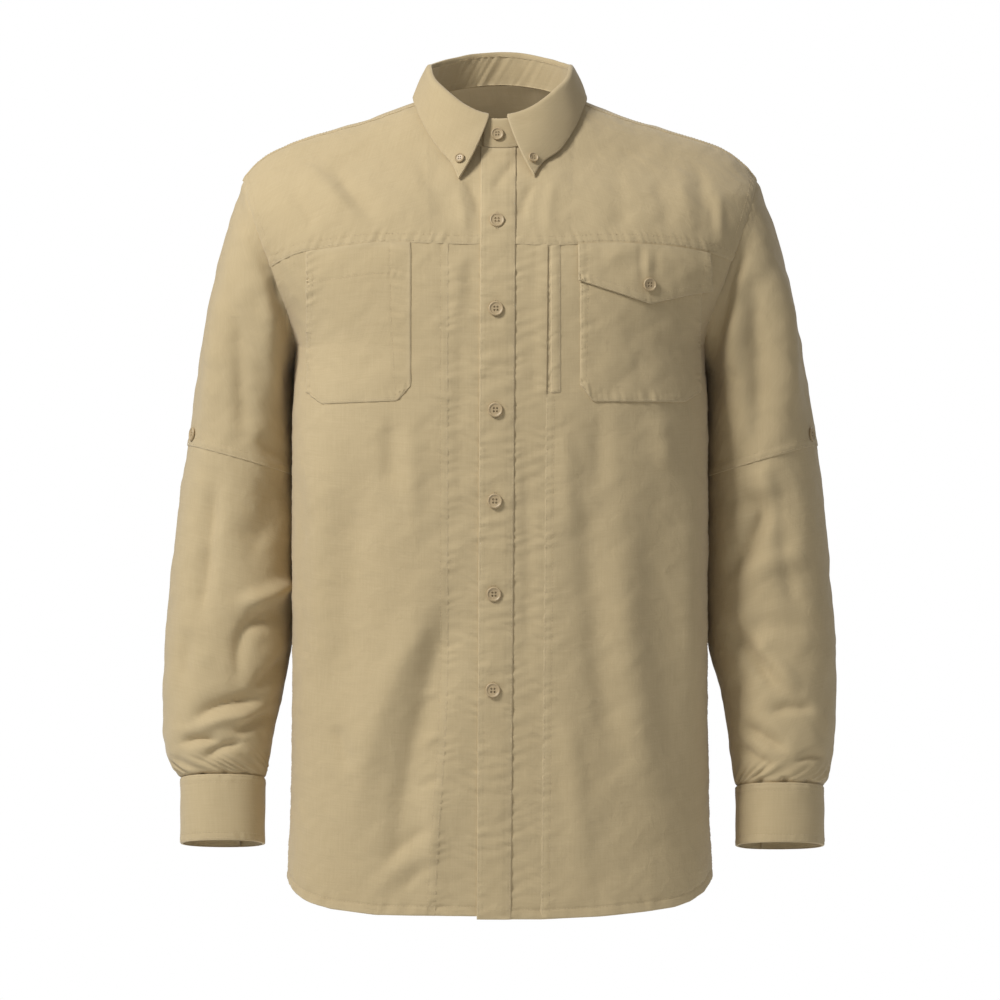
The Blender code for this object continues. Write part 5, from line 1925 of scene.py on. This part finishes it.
CUFF_RINGS: dict[Side, SleeveRings] = {
    Side.RIGHT: ((305.6, -649.4, 225.4, -649.4, -9, 41.5, 9),
                 (305, -710, 226, -710, -14, 41, 8.5)),
    Side.LEFT: ((309.6, -657.4, 226.4, -657.4, -9, 42.5, 9),
                (309.5, -712, 226.6, -712, -14, 42, 8.5)),
}


@dataclass
class Sleeve:
    """Upper sleeve, lower sleeve and cuff of one arm."""

    side: Side
    rings: SleeveRings
    power: float = 2.2
    elbow: float = 6
    cuff_turn: float = 250
    cuff_lap: float = 20
    lap_level: float = 2.4
    press: float = 4.2
    swell: float = 5.5
    columns: int = 134

    def ring(self, rings: SleeveRings, at: Array, turn: Array, hug: bool = True) -> Array:
        """Points round the arm.

        Args:
            rings: Rows of outer x, outer z, inner x, inner z, middle y, half depth and pitch.
            at: Places between the rings.
            turn: Degrees round the arm. 0 is outermost, 90 the front and 180 innermost.
            hug: Whether the first rings follow the armhole.

        Returns:
            The points.
        """
        at, turn = np.broadcast_arrays(np.asarray(at, float), np.asarray(turn, float))
        rows = np.array(rings, float)
        count = np.arange(len(rows), dtype=float)
        outer_x, outer_z, inner_x, inner_z, middle_y, depth, pitch = (
            smooth(count, rows[:, i], at) for i in range(7)
        )
        cosine, sine = np.cos(np.radians(turn)), np.sin(np.radians(turn))
        cosine = np.sign(cosine) * np.abs(cosine) ** (2 / self.power)
        sine = np.sign(sine) * np.abs(sine) ** (2 / self.power)
        x = (outer_x + inner_x) / 2 + (outer_x - inner_x) / 2 * cosine
        z = (outer_z + inner_z) / 2 + (outer_z - inner_z) / 2 * cosine
        y = middle_y - depth * np.cos(np.radians(pitch)) * sine
        z = z + depth * np.sin(np.radians(pitch)) * sine
        if hug:
            middle = (FORM.shoulder_z + FORM.armpit_z) / 2
            first_z = middle + (FORM.shoulder_z - FORM.armpit_z) / 2 * cosine
            seam_x = FORM.armhole_x(first_z)
            seam_y = np.where(sine >= 0, FORM.y(seam_x, first_z, Face.FRONT),
                              FORM.y(seam_x, first_z, Face.BACK))
            keep = 1 - ease(at / 3)
            x = x + keep * (seam_x - 220.5 - 24.5 * cosine)
            y = y + keep * (seam_y - 5 + 72 * sine)
        return np.stack([self.side.value * x, y, z], axis=-1)

    def turns(self) -> Array:
        """Degrees round the arm of a tube's columns. They start under the arm."""
        return np.arange(self.columns) * (360 / self.columns) + 180

    def tube(self, name: str, at: Array) -> Sheet:
        """A closed sheet through these rings, with the sleeve's folds.

        Args:
            name: Name of the piece.
            at: Places between the rings.

        Returns:
            The sheet.
        """
        turns = self.turns()
        points = self.ring(self.rings, at[:, None], turns[None, :])
        sheet = Sheet(name, points, closed=True)
        middle = points.mean(axis=1, keepdims=True)
        if (sheet.normals * (points - middle)).sum() < 0:
            sheet.normals = -sheet.normals
        sheet.fold(SLEEVE_FOLDS[self.side], 1.35).rumple(0.7, 24, 2).rumple(0.3, 10, 5)
        z = points[..., 2]
        beside = ease((-222 - z) / 22) * ease((z + 590) / 110)
        inward = np.exp(-(((np.mod(turns, 360) - 188) / 34) ** 2))
        sheet.lift += self.press * beside * inward
        hollow = ease((-168 - z) / 20) * ease((z + 262) / 40)
        before = np.exp(-(((np.mod(turns, 360) - 152) / 26) ** 2))
        sheet.lift += self.swell * hollow * before
        return sheet

    def upper(self) -> Sheet:
        """The upper sleeve, from under the armhole's edge to the elbow seam.

        Returns:
            The sheet.
        """
        at = graded(330, 3, 0.8, (-2, -8)) / 330 * (self.elbow + 0.02)
        sheet = self.tube("sleeve_upper_" + self.side.word, at)
        seed = 91 + self.side.value
        outermost = 180 - np.abs(np.mod(self.turns(), 360) - 180)
        head = np.exp(-((outermost / 50) ** 2))
        sheet.lift -= (1 - 0.7 * head) * ease(1 - sheet.down / 6)
        sheet.lift += 0.9 * head * ease(1 - np.abs(sheet.down - 8) / 8)
        sheet.pucker(TOP, 5, 0.4, 7, 10, seed)
        sheet.lap(BOTTOM, 0.9, 14).pucker(BOTTOM, 5, 0.4, 6, 9, seed + 3)
        sheet.groove(BOTTOM, 2).groove(BOTTOM, 8, 0.2).roll(BOTTOM, 0.8)
        return sheet

    def lower(self) -> Sheet:
        """The lower sleeve, from under the upper one into the cuff.

        Returns:
            The sheet.
        """
        last = len(self.rings) - 1
        at = self.elbow - 0.08 + graded(330, 2.8, 0.8) / 330 * (last - self.elbow + 0.08)
        sheet = self.tube("sleeve_lower_" + self.side.word, at)
        sheet.lift -= 0.15
        sheet.lift -= 1.9 * ease(1 - sheet.distance(BOTTOM) / 5)
        gather = ripple(sheet.across, 15, 3 + self.side.value)
        sheet.lift += 1.5 * gather * ease(1 - np.abs(sheet.distance(BOTTOM) - 12) / 14)
        sheet.pucker(TOP, 6, 0.35, 6, 10, 95 + self.side.value)
        return sheet

    def cuff(self) -> Sheet:
        """The cuff, a firm band whose outer end laps over its inner end.

        Returns:
            The sheet.
        """
        lap = self.cuff_lap / 41 * 180 / math.pi
        length = 262 + self.cuff_lap
        turns = self.cuff_turn + graded(length, 2.4, 0.6, (-2, 2)) / length * (360 + lap)
        rings = CUFF_RINGS[self.side]
        at = graded(60, 2.4, 0.5, (2, 7.5, -2, -7.5)) / 60
        at = at * 1.02 - 0.02
        rows = np.array(rings, float)
        above = tuple(rows[0] - (rows[1] - rows[0]) * 0.05)
        rings = (above, *rings)
        at = np.where(at < 0, 1 + at / 0.05, at + 1)
        points = self.ring(rings, at[:, None], turns[None, :], hug=False)
        middle = points.mean(axis=1, keepdims=True)
        sheet = Sheet("cuff_" + self.side.word, points, thick=2)
        if (sheet.normals * (points - middle)).sum() < 0:
            sheet.normals = -sheet.normals
        rise = ease((turns - turns[-1] + 2 * lap + 20) / (lap + 10)) * self.lap_level
        sheet.lift += rise[None, :] + 1
        seed = 101 + self.side.value
        sheet.rumple(0.5, 22, 6)
        for edge in (TOP, BOTTOM):
            sheet.pucker(edge, 4, 0.5, 5, 8, seed).groove(edge, 2).groove(edge, 7.5, 0.25)
            sheet.roll(edge, 1.1)
            seed += 3
        for edge in (FIRST, LAST):
            sheet.groove(edge, 2).roll(edge, 1.1)
        return sheet

    def build(self, finish: Finishes) -> tuple[Sheet, Sheet]:
        """Makes the three pieces with their stitching.

        Args:
            finish: The materials.

        Returns:
            The upper sleeve and the cuff, which carry buttons.
        """
        rows = Stitching("stitching_sleeve_" + self.side.word)
        upper, lower, cuff = self.upper(), self.lower(), self.cuff()
        upper.place(finish.cloth, Held.HUNG)
        lower.place(finish.cloth, Held.HUNG)
        cuff.place(finish.firm, Held.FOLDED, slot="firm_cloth")
        rows.follow(upper, (BOTTOM, 2), (BOTTOM, 8))
        for edge in (TOP, BOTTOM):
            rows.follow(cuff, (edge, 2, 1, 1), (edge, 7.5, 1, 1))
        rows.follow(cuff, (LAST, 2, 2, 2))
        rows.place(finish.thread)
        return upper, cuff

    def cuff_spot(self, cuff: Sheet) -> tuple[Array, Array]:
        """Where the cuff's button sits, on the lapped end.

        Args:
            cuff: The cuff.

        Returns:
            A point and an outward direction.
        """
        outer = cuff.outer()
        row = int(np.argmin(np.abs(cuff.down[:, 0] - cuff.down[-1, 0] / 2)))
        column = int(np.argmin(np.abs(cuff.distance(LAST)[row] - self.cuff_lap / 2)))
        return outer[row, column], cuff.normals[row, column]


@dataclass
class Collar:
    """The stand round the neck, and the collar folded over it."""

    height: float = 28.5
    lean: float = 9
    lap_level: float = 2.5
    under_end: float = 13
    over_end: float = 15.5
    corner: float = 7
    foot: float = 0.5
    start: float = 10.5
    end: float = 7
    crest: float = 6.3
    # share of the half neck, x, depth, lift
    edge: Table = (
        (0.00, 35, 10.28, 3.6),
        (0.10, 41, 9.55, 3.6),
        (0.26, 56, 8.25, 3.8),
        (0.40, 69.5, 6.20, 4),
        (0.51, 78.5, 4.00, 4),
        (0.60, 82.4, 1.40, 4.2),
        (0.70, 81, -1.30, 4.4),
        (0.84, 58, -3.80, 4.6),
        (1.00, 0, -5.00, 4.6),
        (1.16, -58, -3.80, 4.6),
    )

    def __post_init__(self) -> None:
        """Traces the neck edge once, from the middle of the front to the wearer's right."""
        turn = np.radians(np.linspace(0, 360, 1441))
        x = -FORM.neck_half_width * np.sin(turn)
        front = np.cos(turn) > 0
        drop = FORM.neck_side_z - FORM.neck_front_drop * np.cos(turn)
        z = np.where(front, drop, FORM.neck_back_z(x))
        y = np.where(front, FORM.y(x, z, Face.FRONT), FORM.y(x, z, Face.BACK))
        self.loop = np.stack([x, y, z], axis=-1)
        self.length = lengths_of(self.loop)
        self.total = float(self.length[-1])

    def frame(self, distance: Array) -> tuple[Array, Array, Array]:
        """Point, outward direction and up direction of the neck edge at this way round it.

        Args:
            distance: Distances round the neck edge.

        Returns:
            Points and directions.
        """
        distance = np.asarray(distance, float)
        spread = np.linspace(-14, 14, 9)

        def at(where: Array) -> Array:
            """Points of the neck edge."""
            return read_line(self.loop, self.length, np.mod(where, self.total))

        point = at(distance)
        along = at(distance[..., None] + spread + 6).mean(axis=-2)
        along = along - at(distance[..., None] + spread - 6).mean(axis=-2)
        out = np.stack([along[..., 1], -along[..., 0], np.zeros_like(distance)], axis=-1)
        out = unit(out)
        away = point - np.array([0, -4, 0])
        out = out * np.sign((away[..., :2] * out[..., :2]).sum(axis=-1))[..., None]
        up = unit(np.array([0, 0, 1]) - out * math.tan(math.radians(self.lean)))
        return point, out, up

    def level(self, distance: Array) -> Array:
        """How far out the stand lies: its far end laps over its near end."""
        return self.lap_level * ease((distance - self.total + 75) / 50)

    def tall(self, distance: Array) -> Array:
        """Height of the stand, which rises between its ends and the sides of the neck.

        Args:
            distance: Distances round the neck edge.

        Returns:
            Heights.
        """
        half = self.total / 2
        part = 1 - np.abs(np.clip(distance, 0, self.total) - half) / half
        return self.height + self.crest * np.exp(-(((part - 0.24) / 0.13) ** 2))

    def stand(self) -> Sheet:
        """The collar stand.

        Returns:
            The sheet.
        """
        last = self.total + self.over_end
        along = graded(last + self.under_end, 2, 0.35, (-2,))
        where = along - self.under_end
        point, out, up = self.frame(where)
        left = np.clip((last - where) / self.corner, 0, 1)
        cut = self.corner * (1 - np.sqrt(1 - (1 - left) ** 2))
        height = self.tall(where) - np.clip(cut, 0, self.corner)
        rows = []
        for part in graded(27, 1.8, 0.5, (2, -2)) / 27:
            rise = (self.foot + (height - self.foot) * part)[:, None]
            rows.append(point + out * self.level(where)[:, None] + up * rise)
        sheet = Sheet("collar_stand", np.array(rows)[::-1], thick=1.9)
        sheet.pucker(BOTTOM, 4, 0.3, 5, 9, 111).groove(BOTTOM, 2)
        sheet.groove(LAST, 2, 0.25)
        back = np.exp(-(((where - self.total / 2) / 70) ** 2))[None, :]
        sheet.lift += 0.8 * back * ripple(sheet.across + 0.1 * sheet.down, 8, 2)
        for edge in (TOP, BOTTOM, LAST):
            sheet.roll(edge, 0.9)
        return sheet

    def fall_rows(self, where: Array) -> Array:
        """Key rows of the collar, from inside the stand's top to the collar's edge.

        Args:
            where: Distances round the neck edge.

        Returns:
            Ten rows of points.
        """
        start, end = self.start, self.total - self.end
        point, out, up = self.frame(where)
        right_half = where > self.total / 2
        run = np.where(right_half, end - where, where - start)
        part = np.clip(run / ((end - start) / 2), 0, 1)
        table = np.array(self.edge)
        x, depth, lift = (smooth(table[:, 0], table[:, i], part) for i in (1, 2, 3))
        x = x + np.where(right_half, -2.2, 4.2) * ease(1 - part / 0.3)
        foot = FORM.over_shoulder(x, depth)
        across = FORM.over_shoulder(x + 0.4, depth) - FORM.over_shoulder(x - 0.4, depth)
        below = FORM.over_shoulder(x, depth + 0.4) - FORM.over_shoulder(x, depth - 0.4)
        normal = unit(np.cross(across, below))
        normal = normal * np.where(normal[..., 2:] < 0, -1, 1)
        foot = foot + normal * lift[:, None]
        foot[:, 0] *= np.where(right_half, 1, -1)
        base = point + up * self.tall(where)[:, None] + out * self.level(where)[:, None]
        off = (3 * ease(1 - part / 0.22) * np.where(right_half, 0, 1))[:, None]
        rows = [
            base - out * 2.15 - up * 1.2,
            base - out * 2.1 + up * 1.8,
            base - out * 0.4 + up * 3.9 + out * off * 0.3,
            base + out * (1.7 + off * 0.8) + up * 3.7,
            base + out * (3.3 + off) + up * 1.6,
        ]
        top = rows[-1]
        near_end = ease(1 - part / 0.3)[:, None]
        inward = np.stack([-np.sign(foot[:, 0]), 0 * part, 0 * part], axis=-1) * 2.6
        for share in (0.2, 0.4, 0.6, 0.8, 1):
            bow = 4 * share * (1 - share)
            rows.append(top * (1 - share) + foot * share
                        + bow * (out * 1.8 + inward * near_end))
        return np.array(rows)

    def fall(self) -> Sheet:
        """The collar, folded over the stand, with button-down points.

        Returns:
            The sheet.
        """
        start, end = self.start, self.total - self.end
        where = start + graded(end - start, 1.9, 0.5, (2, 7, -2, -7))
        keys = self.fall_rows(where)
        length = lengths_of(keys)
        share = length / length[-1:]
        mean = share.mean(axis=1)
        target = graded(60, 1.9, 0.5, (-2, -7)) / 60
        fine = np.zeros((len(target), len(where), 3))
        order = smooth(mean, np.arange(len(mean), dtype=float), target)
        steps = np.arange(len(keys), dtype=float)
        for column in range(len(where)):
            for axis in range(3):
                fine[:, column, axis] = smooth(steps, keys[:, column, axis], order)
        sheet = Sheet("collar_fall", fine, centre=(0, -4), thick=1.6)
        sheet.rumple(0.35, 20, 7)
        for edge, seed in ((FIRST, 121), (LAST, 122), (BOTTOM, 123)):
            sheet.pucker(edge, 4, 0.22, 5, 9, seed).groove(edge, 2, 0.2).roll(edge, 0.9)
        return sheet

    def build(self, finish: Finishes) -> Sheet:
        """Makes the stand and the collar with their stitching.

        Args:
            finish: The materials.

        Returns:
            The collar.
        """
        rows = Stitching("stitching_collar", pitch=2.5, length=1.85, width=0.45)
        stand = self.stand()
        stand.place(finish.firm, Held.FOLDED, slot="firm_cloth")
        rows.follow(stand, (BOTTOM, 2, 2, 1.5), (LAST, 2, 1, 2))
        fall = self.fall()
        fall.place(finish.firm, Held.FOLDED, ["collar_stand"], "firm_cloth")
        rows.follow(fall, (FIRST, 2, 12, 2), (LAST, 2, 12, 2), (BOTTOM, 2, 2, 2))
        rows.place(finish.thread)
        return fall

    def stand_spot(self) -> tuple[Array, Array]:
        """Where the stand's button sits, and its outward direction.

        Returns:
            A point and a direction.
        """
        point, out, up = self.frame(np.array([self.total + 2.4]))
        spot = point[0] + up[0] * 13.5 + out[0] * self.lap_level
        way = out[0] + np.array([0, 0, math.tan(math.radians(self.lean))])
        return spot, unit(way)


@dataclass(frozen=True)
class Button:
    """A round button with a raised rim, a dished face and four sewn holes."""

    name: str
    centre: Array
    out: Array
    radius: float
    thick: float = 2.4
    lift: float = 0.4
    segments: int = 44
    # radius and height as shares of the button's own
    profile: Table = (
        (0.70, 0), (0.86, 0.03), (0.95, 0.16), (1, 0.38), (1, 0.60), (0.97, 0.82),
        (0.92, 0.96), (0.86, 1), (0.80, 0.95), (0.75, 0.80), (0.70, 0.68), (0.62, 0.63),
    )

    def axes(self) -> Array:
        """Side, up and outward directions of the button.

        Returns:
            The three directions as rows.
        """
        out = mathutils.Vector(self.out).normalized()
        side = mathutils.Vector((0, 0, 1)).cross(out).normalized()
        return np.array([side, out.cross(side), out])

    def holes(self) -> list[tuple[float, float]]:
        """Centres of the four holes."""
        offset = self.radius * 0.21
        return [(a * offset, b * offset) for a in (-1, 1) for b in (-1, 1)]

    def mesh(self) -> tuple[Array, list[tuple[int, ...]]]:
        """Points and faces of the button, lying flat.

        Returns:
            Points and corners of faces.
        """
        turn = np.linspace(0, 2 * math.pi, self.segments, endpoint=False)
        points: list[tuple[float, float, float]] = []
        faces: list[tuple[int, ...]] = []
        for scale, height in self.profile:
            for a in turn:
                points.append((self.radius * scale * math.cos(a),
                               self.radius * scale * math.sin(a), height * self.thick))
        count = self.segments
        for ring in range(len(self.profile) - 1):
            for i in range(count):
                j = (i + 1) % count
                a, b = ring * count + i, ring * count + j
                faces.append((a, b, b + count, a + count))
        first = len(points)
        sides = 14
        size = self.radius * 0.135
        heights = (0, self.profile[-1][1] * self.thick)
        for height in heights:
            for cx, cy in self.holes():
                for k in range(sides):
                    a = 2 * math.pi * k / sides
                    points.append((cx + size * math.cos(a), cy + size * math.sin(a), height))
        span = 4 * sides
        for hole in range(4):
            for k in range(sides):
                a = first + hole * sides + k
                b = first + hole * sides + (k + 1) % sides
                faces.append((b, a, a + span, b + span))
        for loop_start, hole_start, upward in (
            (0, first, False), ((len(self.profile) - 1) * count, first + span, True)
        ):
            loop = [loop_start + i for i in range(count)]
            rims = [[hole_start + h * sides + k for k in range(sides)] for h in range(4)]
            faces.extend(self.fill(points, loop, rims, upward))
        return np.array(points), faces

    def fill(self, points: list[tuple[float, float, float]], loop: list[int],
             rims: list[list[int]], upward: bool) -> list[tuple[int, ...]]:
        """Flat faces between an outer loop and the holes in it.

        Args:
            points: All points.
            loop: The outer loop's points.
            rims: The points of each hole.
            upward: Whether the faces look up.

        Returns:
            The faces.
        """
        index = loop + [i for rim in rims for i in rim]
        flat = [mathutils.Vector(points[i][:2]) for i in index]
        edges = []
        start = 0
        for ring in [loop] + rims:
            edges += [(start + i, start + (i + 1) % len(ring)) for i in range(len(ring))]
            start += len(ring)
        found = mathutils.geometry.delaunay_2d_cdt(flat, edges, [], 0, 1e-6)
        size = self.radius * 0.131
        kept = []
        for face in found[2]:
            corners = [index[found[3][i][0]] for i in face]
            middle = sum((found[0][i] for i in face), mathutils.Vector((0, 0))) / len(face)
            if any((middle - mathutils.Vector(c)).length < size for c in self.holes()):
                continue
            a, b, c = (mathutils.Vector(points[i][:2]) for i in corners[:3])
            if ((b - a).cross(c - a) > 0) != upward:
                corners.reverse()
            kept.append(tuple(corners))
        return kept

    def threads(self, rows: Stitching) -> None:
        """A knot of thread in each hole, below the button's face.

        Args:
            rows: Stitching that takes the thread.
        """
        axes = self.axes()
        level = self.lift + self.thick * 0.34
        for x, y in self.holes():
            for shift in (-0.22, 0.22):
                flat = np.array([[x + shift, y - 0.5, level], [x + shift, y + 0.5, level]])
                ends = flat @ axes + self.centre
                rows.starts.append(ends[:1])
                rows.ends.append(ends[1:])
                rows.ways.append(axes[2][None, :])

    def place(self, material: bpy.types.Material) -> None:
        """Makes the button in the place of its node.

        Args:
            material: Its finish.
        """
        points, faces = self.mesh()
        placed = (points + np.array([0, 0, self.lift])) @ self.axes() + self.centre
        obj = mesh_object(self.name, placed, faces, material, 40)
        obj.name = "resin_" + self.name
        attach(obj, "root")
        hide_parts(self.name)
        LOG.info("%s: radius %.1f mm", obj.name, self.radius)


@dataclass
class Buttons:
    """All fourteen buttons and the thread that holds them."""

    def build(self, finish: Finishes, placket: Sheet, flap: Sheet, collar: Collar, fall: Sheet,
              sleeves: dict[Side, tuple[Sleeve, Sheet, Sheet]]) -> None:
        """Makes each button on the outer face of the cloth under it.

        Args:
            finish: The materials.
            placket: Cloth under the front buttons.
            flap: Cloth under the flap's button.
            collar: The stand, for its button.
            fall: Cloth under the collar's buttons.
            sleeves: Sleeve, upper sleeve's cloth and cuff's cloth of each arm.
        """
        made: list[Button] = []
        for number, (x, z) in enumerate(Placket().buttons, 1):
            point, out = spot_on(placket, x, z)
            made.append(Button(f"button_front_{number}", point, out, 7))
        point, out = collar.stand_spot()
        made.append(Button("button_stand", point, out, 6))
        point, out = spot_on(flap, 140.3, -178.7)
        made.append(Button("button_flap", point, out, 6.5))
        for side, x, z in ((Side.RIGHT, -37.7, -58.6), (Side.LEFT, 31.2, -58)):
            point, out = spot_on(fall, x, z)
            made.append(Button("button_collar_" + side.word, point, out, 4.8, lift=0.2))
        for side, (sleeve, upper, cuff) in sleeves.items():
            outer = upper.outer()
            turn = int(np.argmin(np.abs(np.mod(sleeve.turns(), 360) - 29)))
            row = int(np.argmin(np.abs(outer[:, turn, 2] + 319)))
            made.append(Button("button_tab_" + side.word, outer[row, turn],
                               upper.normals[row, turn], 6.5, lift=0.2))
            point, out = sleeve.cuff_spot(cuff)
            made.append(Button("button_cuff_" + side.word, point, out, 5.5))
        rows = Stitching("button_thread", width=0.6)
        for button in made:
            button.place(finish.button)
            button.threads(rows)
        rows.place(finish.thread)


@dataclass(frozen=True)
class Studio:
    """Pale floor, soft light and the camera of the photograph, in metres and watts."""

    camera_place: Place = (0, -5, -0.381)
    aim: Place = (0, 0, -0.38)
    lens: float = 187.5
    sensor: float = 36
    floor_z: float = -1.12
    floor_radius: float = 1.4
    floor_sides: int = 96
    floor_colour: tuple[float, ...] = (0.86, 0.86, 0.85, 1)
    ambient: float = 0.30
    # name, place, size, watts
    lamps: tuple[tuple[str, Place, float, float], ...] = (
        ("key", (-1.9, -1.68, 1.75), 0.8, 96),
        ("fill", (2.6, -2.8, 0.2), 2.2, 6),
        ("back", (0.6, 3, 1.4), 2, 30),
    )
    inside_watts: float = 14
    inside_degrees: float = 13

    def light(self, name: str, place: Place, size: float, watts: float) -> None:
        """A soft square light that looks at the shirt's middle.

        Args:
            name: Name of the light.
            place: Where it stands.
            size: Length of its sides.
            watts: Its power.
        """
        data = bpy.data.lights.new(name, "AREA")
        data.size = size
        data.energy = watts
        lamp = linked(name, data)
        lamp.location = place
        way = mathutils.Vector(self.aim) - mathutils.Vector(place)
        lamp.rotation_euler = way.to_track_quat("-Z", "Y").to_euler()

    def inner_light(self) -> None:
        """A narrow light from below that brightens the inside behind the neck."""
        data = bpy.data.lights.new("inside", "SPOT")
        data.energy = self.inside_watts
        data.spot_size = math.radians(self.inside_degrees)
        data.spot_blend = 0.5
        data.shadow_soft_size = 0.05
        lamp = linked("inside", data)
        lamp.location = (0, 0.02, self.floor_z + 0.02)
        lamp.rotation_euler = (math.pi, 0, 0)

    def floor(self) -> None:
        """A round pale floor well below the shirt."""
        turn = np.linspace(0, 2 * math.pi, self.floor_sides, endpoint=False)
        ring = [(self.floor_radius * math.cos(a), self.floor_radius * math.sin(a), self.floor_z)
                for a in turn]
        mesh = bpy.data.meshes.new("floor")
        mesh.from_pydata(ring, [], [tuple(range(self.floor_sides))])
        material, wires, shader = new_material("pale_floor")
        wires.feed(shader, {"Base Color": self.floor_colour, "Roughness": 0.9})
        mesh.materials.append(material)
        linked("floor", mesh)

    def world(self) -> None:
        """White surroundings that light the shirt less than they show."""
        world = bpy.data.worlds.new("studio")
        bpy.context.scene.world = world
        world.use_nodes = True
        world.node_tree.nodes.clear()
        wires = Wiring(world.node_tree)
        white = (1, 1, 1, 1)
        shades = [wires.add("Background", {"Color": white, "Strength": strength}).outputs[0]
                  for strength in (self.ambient, 1)]
        seen = wires.add("LightPath").outputs["Is Camera Ray"]
        mix = wires.add("MixShader", {0: seen, 1: shades[0], 2: shades[1]})
        wires.add("OutputWorld", {"Surface": mix.outputs[0]})

    def build(self) -> None:
        """Sets the studio up round the shirt."""
        scene = bpy.context.scene
        scene.view_settings.view_transform = "Standard"
        data = bpy.data.cameras.new("camera")
        data.lens = self.lens
        data.sensor_width = self.sensor
        data.clip_end = 50
        camera = linked("camera", data)
        camera.location = self.camera_place
        camera.rotation_euler = (math.pi / 2, 0, 0)
        scene.camera = camera
        self.floor()
        self.world()
        for lamp in self.lamps:
            self.light(*lamp)
        self.inner_light()


def main() -> None:
    """Builds the studio, then every piece of the shirt in order."""
    logging.basicConfig(level=logging.INFO, format="%(name)s: %(message)s")
    Studio().build()
    finish = Finishes.make()
    fronts = Fronts()
    flap = fronts.build(finish)
    placket = Placket().build(finish)
    Yokes().build(finish, fronts)
    Back().build(finish)
    collar = Collar()
    fall = collar.build(finish)
    sleeves = {}
    for side, rings in ((Side.RIGHT, RIGHT_RINGS), (Side.LEFT, LEFT_RINGS)):
        sleeve = Sleeve(side, rings)
        sleeves[side] = (sleeve, *sleeve.build(finish))
    Buttons().build(finish, placket, flap, collar, fall, sleeves)


if __name__ == "__main__":
    main()
